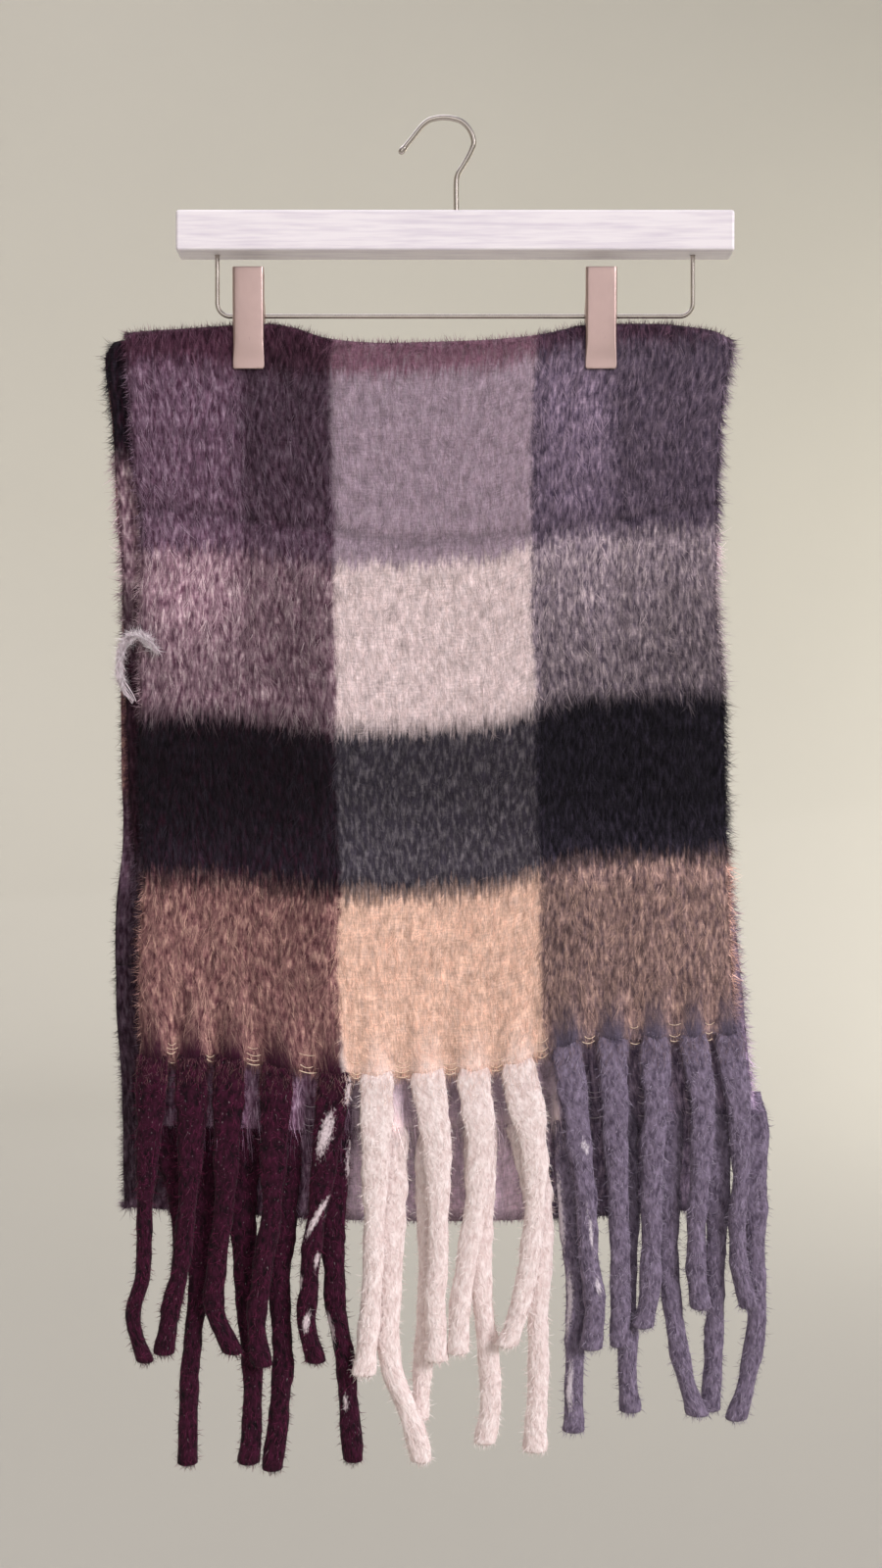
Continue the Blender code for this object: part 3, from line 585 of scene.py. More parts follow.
def leaf_surface(place, rows):
    """The grid of a leaf, with its place in the check as UV in metres and the painted light and shade of its
    nap.
    """
    shares = np.linspace(0, 1, LEAF_COLUMNS)
    stops = stations(rows)
    points = np.array([[place(share, *stop) for share in shares] for stop in stops])
    tone = np.ones(points.shape[:2])
    slices = {}
    for name in dict.fromkeys(stretch for stretch, _ in rows):
        slices[name] = [i for i, (stretch, _) in enumerate(stops) if stretch == name]
    for name, creases, patches, outward, reach in (
        ("front", FRONT_CREASES, FRONT_PATCHES, -1, 1.0),
        ("second", (), SECOND_PATCHES, -1, 0.5),
        ("rear", REAR_CREASES, REAR_PATCHES, 1, 0.0),
        ("third", (), THIRD_PATCHES, -1, 0.0),
    ):
        if name in slices:
            part, part_painted_shading = points[slices[name]], tone[slices[name]]
            valleys(part, reach)
            press(part, part_painted_shading, creases, patches, outward)
            points[slices[name]], tone[slices[name]] = part, part_painted_shading
    wander = np.array([noise.noise(Vector((0, 0, i * 0.16))) for i in range(len(stops))])
    end = np.abs(shares - 0.5) * 2
    points[..., 0] += SELVEDGE_WANDER * wander[:, None] * soft((end - 0.9) * 10)[None, :]
    steps = np.linalg.norm(np.diff(points, axis=0), axis=2)
    along = np.vstack([np.zeros(LEAF_COLUMNS), np.cumsum(steps, axis=0)])
    uv = np.stack([np.broadcast_to(shares * CUT_WIDTH, along.shape), along], axis=2)
    fringe, shades, bares = FRONT_FRINGE, FRONT_RIB_SHADE, FRONT_RIB_BARE
    if rows is INNER_ROWS:
        fringe, shades, bares = REAR_FRINGE, SECOND_RIB_SHADE, SECOND_RIB_BARE
    roots = roots_of(fringe)
    across_mm = shares * CUT_WIDTH
    ridge = np.array([[flute(x, 1.0, 0.0, roots) for x in points[0, :, 0]]])
    # painted light and shade over the ribs, fading up from the hem
    tone *= 1 + by_stripe(shades, across_mm) * ridge * soft(1 - along / FLUTE_RUN)
    over_rib = soft(1 - along / RIB_BARE_RUN) * soft(ridge + 0.5)
    bare = by_stripe(bares, across_mm) * (over_rib + 0.5 * soft(1 - along / HEM_BARE_RUN))
    return Surface(points, uv, tone, np.clip(bare, 0, 1))


def sheet_object(name, surface, material, closed=False):
    """A mesh from a grid: bmesh's own grid whose points move to the surface's, with UV, in metres."""
    rows, columns = surface.points.shape[:2]
    bm = bmesh.new()
    bmesh.ops.create_grid(bm, x_segments=columns - 1, y_segments=rows - 1, size=1)
    uv_layer = bm.loops.layers.uv.new("cloth")
    painted_shading_layer = bm.verts.layers.float.new("tone")
    bare_layer = bm.verts.layers.float.new("bare")
    places = {}
    for vert in bm.verts:
        column = round((vert.co.x + 1) / 2 * (columns - 1))
        row = round((vert.co.y + 1) / 2 * (rows - 1))
        places[vert.index] = row, column
        vert[painted_shading_layer] = surface.tone[row, column]
        vert[bare_layer] = surface.bare[row, column]
        vert.co = Vector(surface.points[row, column]) * MM
    for face in bm.faces:
        face.smooth = True
        for loop in face.loops:
            loop[uv_layer].uv = Vector(surface.uv[places[loop.vert.index]]) * MM
    if closed:
        bmesh.ops.remove_doubles(bm, verts=bm.verts, dist=1e-6)
        bmesh.ops.recalc_face_normals(bm, faces=bm.faces)
    return finished(name, bm, material)


def placed(name, data):
    obj = bpy.data.objects.new(name, data)
    bpy.context.scene.collection.objects.link(obj)
    return obj


def riding(name, mesh, material):
    """The mesh as a piece that rides on the one body."""
    mesh.materials.append(material)
    obj = placed(name, mesh)
    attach(obj, "root")
    return obj


def mesh_of(name, bm):
    mesh = bpy.data.meshes.new(name)
    bm.to_mesh(mesh)
    bm.free()
    return mesh


def finished(name, bm, material):
    return riding(name, mesh_of(name, bm), material)


def absorb(bm, piece):
    """Adds a piece's mesh to the bmesh and drops the piece."""
    mesh = piece.data
    bm.from_mesh(mesh)
    bpy.data.objects.remove(piece)
    bpy.data.meshes.remove(mesh)


def grid_value(values, row, column):
    """A grid's values at fractional rows and columns."""
    i = np.clip(row.astype(int), 0, values.shape[0] - 2)
    j = np.clip(column.astype(int), 0, values.shape[1] - 2)
    a, b = row - i, column - j
    if values.ndim == 3:
        a, b = a[:, None], b[:, None]
    top = values[i, j] * (1 - b) + values[i, j + 1] * b
    low = values[i + 1, j] * (1 - b) + values[i + 1, j + 1] * b
    return top * (1 - a) + low * a


def unit(vectors):
    return vectors / np.maximum(np.linalg.norm(vectors, axis=1, keepdims=True), 1e-9)


def directions(surface, row, column):
    """Outward, along and across at places of a surface."""
    i = np.clip(row.astype(int), 0, surface.points.shape[0] - 2)
    j = np.clip(column.astype(int), 0, surface.points.shape[1] - 2)
    along = unit(surface.points[i + 1, j] - surface.points[i, j])
    sideways = unit(surface.points[i, j + 1] - surface.points[i, j])
    return unit(np.cross(sideways, along)), along, sideways


def fibre_object(name, surface, hairs, rng, material, painted_light=1.0):
    """Many fibres in one mesh: each a ribbon that tapers, with its root's place in the check."""
    count = len(hairs.roots)
    uv = grid_value(surface.uv, hairs.row, hairs.column)
    # the painted light and shade of the cloth at the root, times any painted rim light
    tone = grid_value(surface.tone, hairs.row, hairs.column) * painted_light
    bare = grid_value(surface.bare, hairs.row, hairs.column)
    side = unit(np.cross(hairs.heading, hairs.spread))
    lift = hairs.spread * rng.uniform(0.0, 0.13, (count, 1)) * hairs.length
    sway = side * hairs.bend * hairs.length
    middle = hairs.roots + hairs.heading * hairs.length * 0.5 + lift * 0.8 + sway * 0.35
    tip = hairs.roots + hairs.heading * hairs.length + lift + sway
    half = side * hairs.width / 2
    points = [hairs.roots - half, hairs.roots + half, middle - half * 0.8, middle + half * 0.8, tip]
    first = np.arange(count)[:, None] * 5
    quads = first + np.array([0, 1, 3, 2])
    tips = first + np.array([2, 3, 4])
    mesh = bpy.data.meshes.new(name)
    corners = np.stack(points, axis=1).reshape(-1, 3) * MM
    mesh.from_pydata(corners.tolist(), [], quads.tolist() + tips.tolist())
    places = np.concatenate([np.repeat(uv, 4, axis=0), np.repeat(uv, 3, axis=0)]) * MM
    mesh.uv_layers.new(name="cloth").data.foreach_set("uv", places.astype(np.float32).ravel())
    for label, values in (
        ("tone", np.repeat(tone, 5)),
        ("bare", np.repeat(bare, 5)),
        ("yarn_mix", np.repeat(hairs.level, 5)),
        ("reach", np.tile([0.0, 0.0, 0.5, 0.5, 1.0], count)),
    ):
        layer = mesh.attributes.new(label, "FLOAT", "POINT")
        layer.data.foreach_set("value", values.astype(np.float32))
    return riding(name, mesh, material)


def drifting(places, rate, seed):
    """Smooth noise at places on the cloth, at its own rate across and down."""
    return np.array([noise.noise(Vector((p[0] * rate[0], p[2] * rate[1], seed))) for p in places])


def nap_on(name, surface, first_row, last_row, tufts, seed, down=-1, width=NAP_WIDTH):
    """Brushed nap over a stretch of a leaf: tufts of fibres that lie along the cloth and drift sideways.

    Down is -1 where the rows climb and 1 where they fall, so that the nap hangs downwards on every layer.
    """
    rng = np.random.default_rng(seed)
    last = surface.points.shape[1] - 1
    row = rng.uniform(first_row, last_row, tufts)
    column = rng.uniform(0, last, tufts)
    across_mm = grid_value(surface.uv, row, column)[:, 0] + rng.normal(0, STRIPE_BLEED, tufts)
    shortest, longest, stray = by_stripe(PILE, across_mm).T
    places = grid_value(surface.points, row, column)
    turn = 0.4 * drifting(places, DRIFT_RATE, seed) + rng.normal(0, 1, tufts) * stray
    reach = rng.uniform(shortest, longest)
    clumps, broad = drifting(places, CLUMP_RATE, seed), drifting(places, BROAD_RATE, seed)
    level = np.clip(0.45 + 0.64 * clumps + 0.25 * broad + rng.normal(0, 0.2, tufts), 0, 1)

    tuft = (row, column, turn, reach, level)
    row, column, turn, reach, level = [np.repeat(part, TUFT_FIBRES) for part in tuft]
    count = len(row)
    aside = rng.normal(0, TUFT_HALF_WIDTH, count)
    row = np.clip(row + rng.normal(0, 0.6, count), first_row, last_row)
    column = np.clip(column + aside / (CUT_WIDTH / last), 0, last)
    out, along, sideways = directions(surface, row, column)
    length = (reach * rng.uniform(0.6, 1.1, count))[:, None]
    turn = (turn + rng.normal(0, 0.06, count) - 0.8 * aside / length[:, 0])[:, None]
    heading = unit(along * down * np.cos(turn) + sideways * np.sin(turn))
    length *= 1 - 0.7 * soft((np.abs(out[:, 2:3]) - 0.25) / 0.5)
    roots = grid_value(surface.points, row, column) + out * (WALL / 2 - 0.15)
    level = np.clip(level + rng.normal(0, 0.1, count), 0, 1)
    bend = rng.normal(0, 0.16, (count, 1))
    hairs = Hairs(row, column, roots, heading, out, length, width, bend, level)
    return fibre_object(name, surface, hairs, rng, NAP)


def rim_fibres(name, surface, rows, columns, count, seed, outward, long=RIM_REACH, width=RIM_WIDTH,
               painted_light=RIM_PAINTED_LIGHT, stray=RIM_STRAY):
    """Loose fibres that stand out from an edge or a fold: rows and columns give the strip they grow from."""
    rng = np.random.default_rng(seed)
    row = rng.uniform(*rows, count)
    column = rng.uniform(*columns, count)
    out, along, sideways = directions(surface, row, column)
    face = np.where(rng.uniform(0, 1, (count, 1)) < 0.5, 1.0, -1.0)
    roots = grid_value(surface.points, row, column) + out * face * WALL * 0.35
    away = {"left": -sideways, "right": sideways, "hem": -along, "fold": out}[outward]
    drop_way = np.where(along[:, 2:3] > 0, -1.0, 1.0)
    lean = along * drop_way * rng.normal(0.45, 0.6, (count, 1))
    heading = unit(away + lean + out * np.clip(rng.normal(0, stray, (count, 1)), -2 * stray, 2 * stray))
    length = rng.uniform(*long, (count, 1)) * rng.uniform(0.4, 1.0, (count, 1))
    bend = np.clip(rng.normal(0, stray, (count, 1)), -2 * stray, 2 * stray)
    spread = unit(np.cross(heading, rng.normal(0, 1, (count, 3))))
    level = rng.uniform(0, 1, count)
    hairs = Hairs(row, column, roots, heading, spread, length, width, bend, level)
    return fibre_object(name, surface, hairs, rng, NAP, painted_light)


# Materials


def linear(code):
    """An sRGB hex value as a linear colour."""
    channels = [int(code[i:i + 2], 16) / 255 for i in (1, 3, 5)]
    return (*[c / 12.92 if c <= 0.04045 else ((c + 0.055) / 1.055) ** 2.4 for c in channels], 1.0)


def plug(tree, node, links):
    """Sets a node's inputs, each to a value or to another node's output."""
    for key, value in dict(links).items():
        if isinstance(value, bpy.types.NodeSocket):
            tree.links.new(value, node.inputs[key])
        else:
            node.inputs[key].default_value = value


def add(tree, kind, settings=(), links=()):
    """A node with its settings and its inputs."""
    node = tree.nodes.new("ShaderNode" + kind)
    for key, value in dict(settings).items():
        setattr(node, key, value)
    plug(tree, node, links)
    return node


def attribute(tree, name):
    return add(tree, "Attribute", {"attribute_name": name}).outputs["Fac"]


def grain(tree, place, scale, detail=2.0):
    return add(tree, "TexNoise", {}, {"Vector": place, "Scale": scale, "Detail": detail}).outputs[0]


def ranged(tree, value, before, after):
    """The value moved from the range before to the range after, and held at both ends."""
    return add(tree, "MapRange", {}, dict(enumerate((value, *before, *after)))).outputs[0]


def new_material(name):
    material = bpy.data.materials.new(name)
    material.use_nodes = True
    tree = material.node_tree
    return material, tree, tree.nodes["Principled BSDF"]


def streaks(tree, place, wide, long, detail=2.0, turn=0.0):
    """Noise drawn out along the cloth: wide and long are the size of a streak in millimetres."""
    scale = (1 / (wide * MM), 1 / (long * MM), 1.0)
    mapped = add(tree, "Mapping", {}, {"Vector": place, "Rotation": (0, 0, turn), "Scale": scale})
    return grain(tree, mapped.outputs[0], 1.0, detail)


def sum_of(tree, a, b, factor):
    """a plus factor times what b has over its middle."""
    centred = add(tree, "Math", {"operation": "SUBTRACT"}, {0: b, 1: 0.5}).outputs[0]
    return add(tree, "Math", {"operation": "MULTIPLY_ADD"}, {0: centred, 1: factor, 2: a}).outputs[0]


def ramp_of_blocks(tree, place, blocks, colours, length, softness):
    """A colour ramp with a stop on either side of each block's end."""
    share = add(tree, "Math", {"operation": "MULTIPLY"}, {0: place, 1: 1 / (length * MM)}).outputs[0]
    ramp = add(tree, "ValToRGB", {}, {0: share})
    stops = [(0.0, blocks[0].yarn)]
    for before, after in zip(blocks, blocks[1:]):
        stops.append(((before.end - softness) / length, before.yarn))
        stops.append(((before.end + softness) / length, after.yarn))
    elements = ramp.color_ramp.elements
    elements.remove(elements[1])
    elements[0].position, elements[0].color = stops[0][0], linear(colours[stops[0][1]])
    for position, yarn in stops[1:]:
        elements.new(position).color = linear(colours[yarn])
    return ramp.outputs[0]


def blended(tree, factor, a, b, kind="MIX"):
    return add(tree, "Mix", {"data_type": "RGBA", "blend_type": kind}, {0: factor, 6: a, 7: b}).outputs[2]


def times(tree, a, b):
    return blended(tree, 1.0, a, b, "MULTIPLY")


def check_colours(tree):
    """The weft over the warp, and the bare warp, with borders that feather along the nap."""
    place = add(tree, "UVMap", {"uv_map": "cloth"}).outputs[0]
    split = add(tree, "SeparateXYZ", {}, {0: place})
    feather = streaks(tree, place, 1.8, 15, 4.0)
    waver = streaks(tree, place, 9, 5, 2.0)
    down = sum_of(tree, split.outputs[1], feather, 0.03)
    aside = sum_of(tree, split.outputs[0], waver, 0.0065)
    weft = ramp_of_blocks(tree, down, WEFT_BLOCKS, WEFT_YARN, CUT_LENGTH, 3.6)
    tint = ramp_of_blocks(tree, aside, WARP_STRIPES, WARP_TINT, CUT_WIDTH, 1.4)
    warp = ramp_of_blocks(tree, aside, WARP_STRIPES, WARP_YARN, CUT_WIDTH, 1.4)
    fleck = ramp_of_blocks(tree, aside, WARP_STRIPES, WARP_FLECK, CUT_WIDTH, 1.4)
    return times(tree, weft, tint), weft, tint, warp, fleck, place


def toned(tree, colour, amount, low, high):
    """The colour made darker or lighter by an amount from 0 to 1."""
    level = ranged(tree, amount, (0.25, 0.75), (low, high))
    return times(tree, colour, level)


def finish_check(tree, colour, warp, place):
    """Clumps in the brushing, bare warp at the hem, and the painted light and shade: the nap's lay as a
    painted sheen, shade in creases, light and shade over ribs, and rim light.
    """
    colour = toned(tree, colour, streaks(tree, place, 6.0, 11.0, 3.5), 0.7, 1.3)
    bare = attribute(tree, "bare")
    tone = attribute(tree, "tone")
    return times(tree, blended(tree, bare, colour, warp), tone)


def woven_ground():
    """Mohair and wool blanket cloth, woven and then brushed on both faces.

    Under the raised nap the eye gets a soft matt ground with streaks along the brushing, no gloss, and a
    faint bloom where the surface turns away.
    """
    material, tree, shader = new_material("brushed_mohair_cloth")
    covered, weft, tint, warp, fleck, place = check_colours(tree)
    coarse = streaks(tree, place, 2.4, 8, 3.0)
    fine = streaks(tree, place, 1.1, 3.6, 3.0)
    picks = streaks(tree, place, 6.0, 1.2, 2.0)
    parted = ranged(tree, coarse, (0.36, 0.52), (1.0, 0.0))
    fluffy = ranged(tree, coarse, (0.52, 0.7), (0.0, 0.5))
    mats = streaks(tree, place, 2.6, 8.5, 5.0)
    specks = ranged(tree, mats, (0.45, 0.75), (0.0, 0.3))
    colour = blended(tree, parted, covered, tint, "MULTIPLY")
    colour = blended(tree, fluffy, colour, weft)
    colour = blended(tree, specks, colour, fleck)
    colour = toned(tree, toned(tree, colour, fine, 0.76, 1.2), picks, 0.82, 1.14)
    colour = toned(tree, colour, coarse, 0.8, 1.16)
    colour = finish_check(tree, colour, warp, place)
    relief = sum_of(tree, sum_of(tree, coarse, fine, 1.2), picks, 0.8)
    bump = add(tree, "Bump", {}, {"Strength": 0.55, "Distance": 0.0009, "Height": relief})
    plug(tree, shader, {"Base Color": colour, "Normal": bump.outputs[0], "Roughness": 0.92})
    plug(tree, shader, {"Sheen Weight": 0.06, "Sheen Roughness": 0.5, "Specular IOR Level": 0.1})
    return material


def raised_nap():
    """Mohair fibres that brushing pulled out of the weft: fine, each in its own yarn's colour."""
    material, tree, shader = new_material("raised_mohair_nap")
    covered, weft, tint, warp, fleck, place = check_colours(tree)
    yarn_mix = attribute(tree, "yarn_mix")
    reach = attribute(tree, "reach")
    deep = ranged(tree, yarn_mix, (0.0, 0.4), (0.75, 0.0))
    fluffy = ranged(tree, yarn_mix, (0.5, 1.0), (0.0, 0.6))
    mats = streaks(tree, place, 1.6, 7.0, 2.0)
    felted = ranged(tree, mats, (0.5, 0.7), (0.0, 0.24))
    colour = blended(tree, deep, covered, tint, "MULTIPLY")
    colour = blended(tree, fluffy, colour, weft)
    colour = blended(tree, felted, colour, fleck)
    shade = ranged(tree, yarn_mix, (0.0, 1.0), (0.66, 1.42))
    colour = times(tree, colour, shade)
    # Painted light: each fibre drawn darker at its root, as shade deep in the pile, and lighter at its tip,
    # as light through it
    lift = ranged(tree, reach, (0.0, 1.0), (0.9, 1.12))
    colour = finish_check(tree, times(tree, colour, lift), warp, place)
    plug(tree, shader, {"Base Color": colour, "Roughness": 0.7, "Specular IOR Level": 0.15})
    plug(tree, shader, {"Sheen Weight": 0.05, "Sheen Roughness": 0.4})
    return material


def brushed_yarn(name, deep, light, pale, fibres=False):
    """Thick fringe yarn: several twisted warp ends, felted and brushed, so the twist shows faintly."""
    material, tree, shader = new_material(name)
    place = add(tree, "UVMap", {"uv_map": "cloth"}).outputs[0]
    twist = streaks(tree, place, 1.3, 4.2, 2.0, math.radians(35))
    felt = streaks(tree, place, 3.2, 9.0, 3.0)
    level = sum_of(tree, felt, twist, 0.75)
    if fibres:
        level = attribute(tree, "yarn_mix")
    share = ranged(tree, level, (0.28, 0.74), (0.0, 1.0))
    colour = blended(tree, share, linear(deep), linear(light))
    spots = attribute(tree, "bare")
    wisps = streaks(tree, place, 0.8, 2.6, 4.0)
    ragged = sum_of(tree, spots, wisps, 2.0)
    spots = ranged(tree, ragged, (0.3, 0.95), (0.0, 0.9))
    colour = blended(tree, spots, colour, linear(pale))
    bump = add(tree, "Bump", {}, {"Strength": 0.8, "Distance": 0.0014, "Height": level})
    plug(tree, shader, {"Base Color": colour, "Normal": bump.outputs[0], "Roughness": 0.85})
    plug(tree, shader, {"Sheen Weight": 0.08, "Sheen Roughness": 0.45, "Specular IOR Level": 0.15})
    return material


def binding_thread(name, deep, light):
    """Fine spun weft threads that show as rungs between the strands at each hem."""
    material, tree, shader = new_material(name)
    place = add(tree, "TexCoord").outputs["Object"]
    fleck = grain(tree, place, 900.0)
    colour = blended(tree, fleck, linear(deep), linear(light))
    plug(tree, shader, {"Base Color": colour, "Roughness": 0.6})
    return material


def painted_beech():
    """Beech under white paint: satin, with faint slanted brush strokes over the grain."""
    material, tree, shader = new_material("brushed_white_paint_on_beech")
    place = add(tree, "TexCoord").outputs["Object"]
    slant = (0, math.radians(24), 0)
    turned = add(tree, "Mapping", {}, {"Vector": place, "Rotation": slant, "Scale": (26, 400, 420)})
    strokes = grain(tree, turned.outputs[0], 1.0, 4.0)
    drawn = add(tree, "Mapping", {}, {"Vector": place, "Scale": (9, 700, 700)})
    pores = grain(tree, drawn.outputs[0], 1.0, 3.0)
    share = ranged(tree, strokes, (0.42, 0.72), (0.0, 0.75))
    colour = blended(tree, share, linear("#f4eef2"), linear("#d9d0dc"))
    relief = sum_of(tree, strokes, pores, 0.4)
    bump = add(tree, "Bump", {}, {"Strength": 0.35, "Distance": 0.0003, "Height": relief})
    rough = ranged(tree, pores, (0.3, 0.7), (0.38, 0.52))
    plug(tree, shader, {"Base Color": colour, "Normal": bump.outputs[0], "Roughness": rough})
    plug(tree, shader, {"Coat Weight": 0.15, "Coat Roughness": 0.3})
    return material


def nickel(name, colour, worn, rough, grit, along):
    """Nickel-plated steel: grit is the brushing's line spacing in millimetres and along its direction."""
    material, tree, shader = new_material(name)
    place = add(tree, "TexCoord").outputs["Object"]
    scale = [1 / (grit * MM) if axis != along else 1 / (grit * 40 * MM) for axis in "xyz"]
    lines = add(tree, "Mapping", {}, {"Vector": place, "Scale": scale})
    brushing = grain(tree, lines.outputs[0], 1.0, 3.0)
    cloud = grain(tree, place, 60.0, 2.0)
    tint = blended(tree, cloud, linear(colour), linear(worn))
    level = ranged(tree, brushing, (0.3, 0.7), (rough * 0.8, rough * 1.25))
    bump = add(tree, "Bump", {}, {"Strength": 0.12, "Distance": 0.0001, "Height": brushing})
    plug(tree, shader, {"Base Color": tint, "Metallic": 1.0, "Roughness": level, "Normal": bump.outputs[0]})
    return material


CLOTH = woven_ground()
NAP = raised_nap()
YARN = {
    "plum": brushed_yarn("plum_fringe_yarn", "#0e0209", "#42122b", "#e6d6da"),
    "cream": brushed_yarn("cream_fringe_yarn", "#dcc7c3", "#fbeeeb", "#fffaf8"),
    "slate": brushed_yarn("slate_fringe_yarn", "#514758", "#8d8096", "#dcd2da"),
    "mauve": brushed_yarn("mauve_selvedge_yarn", "#cdbcc4", "#fff6fa", "#fff8fb"),
}
YARN_NAP = {
    "plum": brushed_yarn("plum_yarn_nap", "#1a0511", "#5f203d", "#efe2e5", True),
    "cream": brushed_yarn("cream_yarn_nap", "#e2cfcb", "#fff6f3", "#fffaf8", True),
    "slate": brushed_yarn("slate_yarn_nap", "#665c6e", "#a196a8", "#e0d6de", True),
    "mauve": brushed_yarn("mauve_selvedge_nap", "#d9c9d0", "#fffafc", "#fffafc", True),
}
THREAD = binding_thread("spun_binding_thread", "#efc8a4", "#fff0dc")
PALE_THREAD = binding_thread("pale_binding_thread", "#cbb9c4", "#f6eaf0")
PAINT = painted_beech()
PLATE = nickel("satin_nickel_plate", "#c3aaa4", "#b7a09b", 0.36, 0.25, "z")
WIRE = nickel("polished_nickel_wire", "#cdc5bd", "#b5ada6", 0.2, 0.2, "x")
SPRING = nickel("blued_spring_wire", "#8c857f", "#756d68", 0.3, 0.2, "x")


# Cloth


def add_wall(obj):
    solidify = obj.modifiers.new("wall", "SOLIDIFY")
    solidify.thickness = WALL * 0.9 * MM
    solidify.offset = 0.0


def row_of(rows, stretch, t=0.0):
    """The row number at a share t of a stretch."""
    before = 0
    for name, count in rows:
        if name == stretch:
            return before + t * count
        before += count
    raise KeyError(stretch)


OUTER = leaf_surface(outer_leaf_point, OUTER_ROWS)
INNER = leaf_surface(inner_leaf_point, INNER_ROWS)
INNER.uv[..., 1] = CUT_LENGTH - INNER.uv[..., 1]


def build_cloth():
    outer = sheet_object("outer_leaf_cloth", OUTER, CLOTH)
    inner = sheet_object("inner_leaf_cloth", INNER, CLOTH)
    for cloth in (outer, inner):
        add_wall(cloth)
    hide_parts("scarf_outer_leaf")
    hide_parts("scarf_inner_leaf")
    return outer, inner


def build_nap():
    last = LEAF_COLUMNS - 1
    every, left, right = (0, last), (0, 0.6), (last - 0.6, last)
    top, rear, end = [row_of(OUTER_ROWS, stretch) for stretch in ("top", "rear", "bottom")]
    pieces = [
        nap_on("front_nap", OUTER, 0, top + 8, 16600, 11),
        nap_on("rear_nap", OUTER, top + 8, end + 4, 6400, 12, 1, width=0.42),
        nap_on("second_hem_nap", INNER, 0, 26, 2200, 13),
        nap_on("third_foot_nap", OUTER, end + 5, end + 8 + 16, 1600, 14),
        rim_fibres("left_rim", OUTER, (0, end + 30), left, 8500, 21, "left"),
        rim_fibres("right_rim", OUTER, (0, top), right, 5200, 22, "right", (4, 14), 0.36, RIM_PAINTED_LIGHT_RIGHT),
        rim_fibres("rear_right_rim", OUTER, (top, end + 30), right, 3000, 30, "right", (4, 12), 0.36),
        rim_fibres("inner_left_rim", INNER, (0, 110), left, 3000, 23, "left", (4, 13), 0.34),
        rim_fibres("inner_right_rim", INNER, (0, 110), right, 3000, 24, "right", (4, 12), 0.34),
        rim_fibres("front_hem_rim", OUTER, (0, 1.2), every, 4600, 25, "hem", (4, 13)),
        rim_fibres("second_hem_rim", INNER, (0, 1.2), every, 3000, 26, "hem", (4, 10)),
        rim_fibres("second_hem_haze", INNER, (0, 4), (5, 71), 4400, 29, "hem", (8, 36), 0.3, stray=0.12),
        rim_fibres("top_fold_rim", OUTER, (top + 1, rear - 1), every, 6000, 27, "fold", (3, 8)),
        rim_fibres("bottom_fold_rim", OUTER, (end, end + 8), every, 3000, 28, "fold", (3, 7)),
    ]
    return pieces


# Fringe

STRAND_ROWS = 84
ROOT_HAIRS = 330
ROOT_HAIR_ROWS = 11
STRAND_SIDES = 20
TIP_RUN = 2.6
STRAND_SWAY = (1.1, 0.7)
GIRTH_SWELL = 0.13
LUMP_SWELL = 0.10
PLY_SWELL = 0.045
TIP_FLARE = 0.1
LOOP_ROUTE = (
    (-193, 352), (-198, 345), (-205, 341.5), (-211, 345), (-215, 354), (-216, 366), (-213, 377), (-208, 385),
)
LOOP_THREADS = 14
LOOP_HAIRS = 170
RUNG_LOSS = 0.3
FRONT_RUNGS = (0.34, 0.26, 0.22, 0.18)
SECOND_RUNGS = (0.2, 0.18, 0.16, 0.14, 0.14)


def strand_ring(strand, hem, depth, middle_y, root_half_width, share):
    """Centre, half width, half depth and tilt of a strand at a share of its length."""
    shares = (0.0, 0.25, 0.5, 0.7, 0.85, 1.0)
    x = curve_value(shares, strand[:6], share)
    hem_drop = through(hem, "x", "drop", strand.root_x)
    top = hem_drop + SEAM + ROOT_DROP
    drop = mix(top, strand.tip_drop, share)
    gathered = smoothstep(share / GATHER_SHARE)
    half_width = mix(root_half_width, strand.half_width * BRUSHED_OUT, gathered)
    half_depth = mix(ROOT_HALF_DEPTH, STRAND_HALF_DEPTH, gathered)
    root_y = depth(strand.root_x, hem_drop) - hang(strand.root_x, hem_drop)
    low_y = mix(middle_y, strand.tip_y, smoothstep((share - 0.4) / 0.5))
    y = mix(root_y, low_y, smoothstep(share / 0.2)) + hang(x, drop)
    lean = through(hem, "x", "drop", strand.root_x + 6) - through(hem, "x", "drop", strand.root_x - 6)
    tilt = lean / 12 * (1 - gathered)
    return x, y, drop, half_width, half_depth, tilt


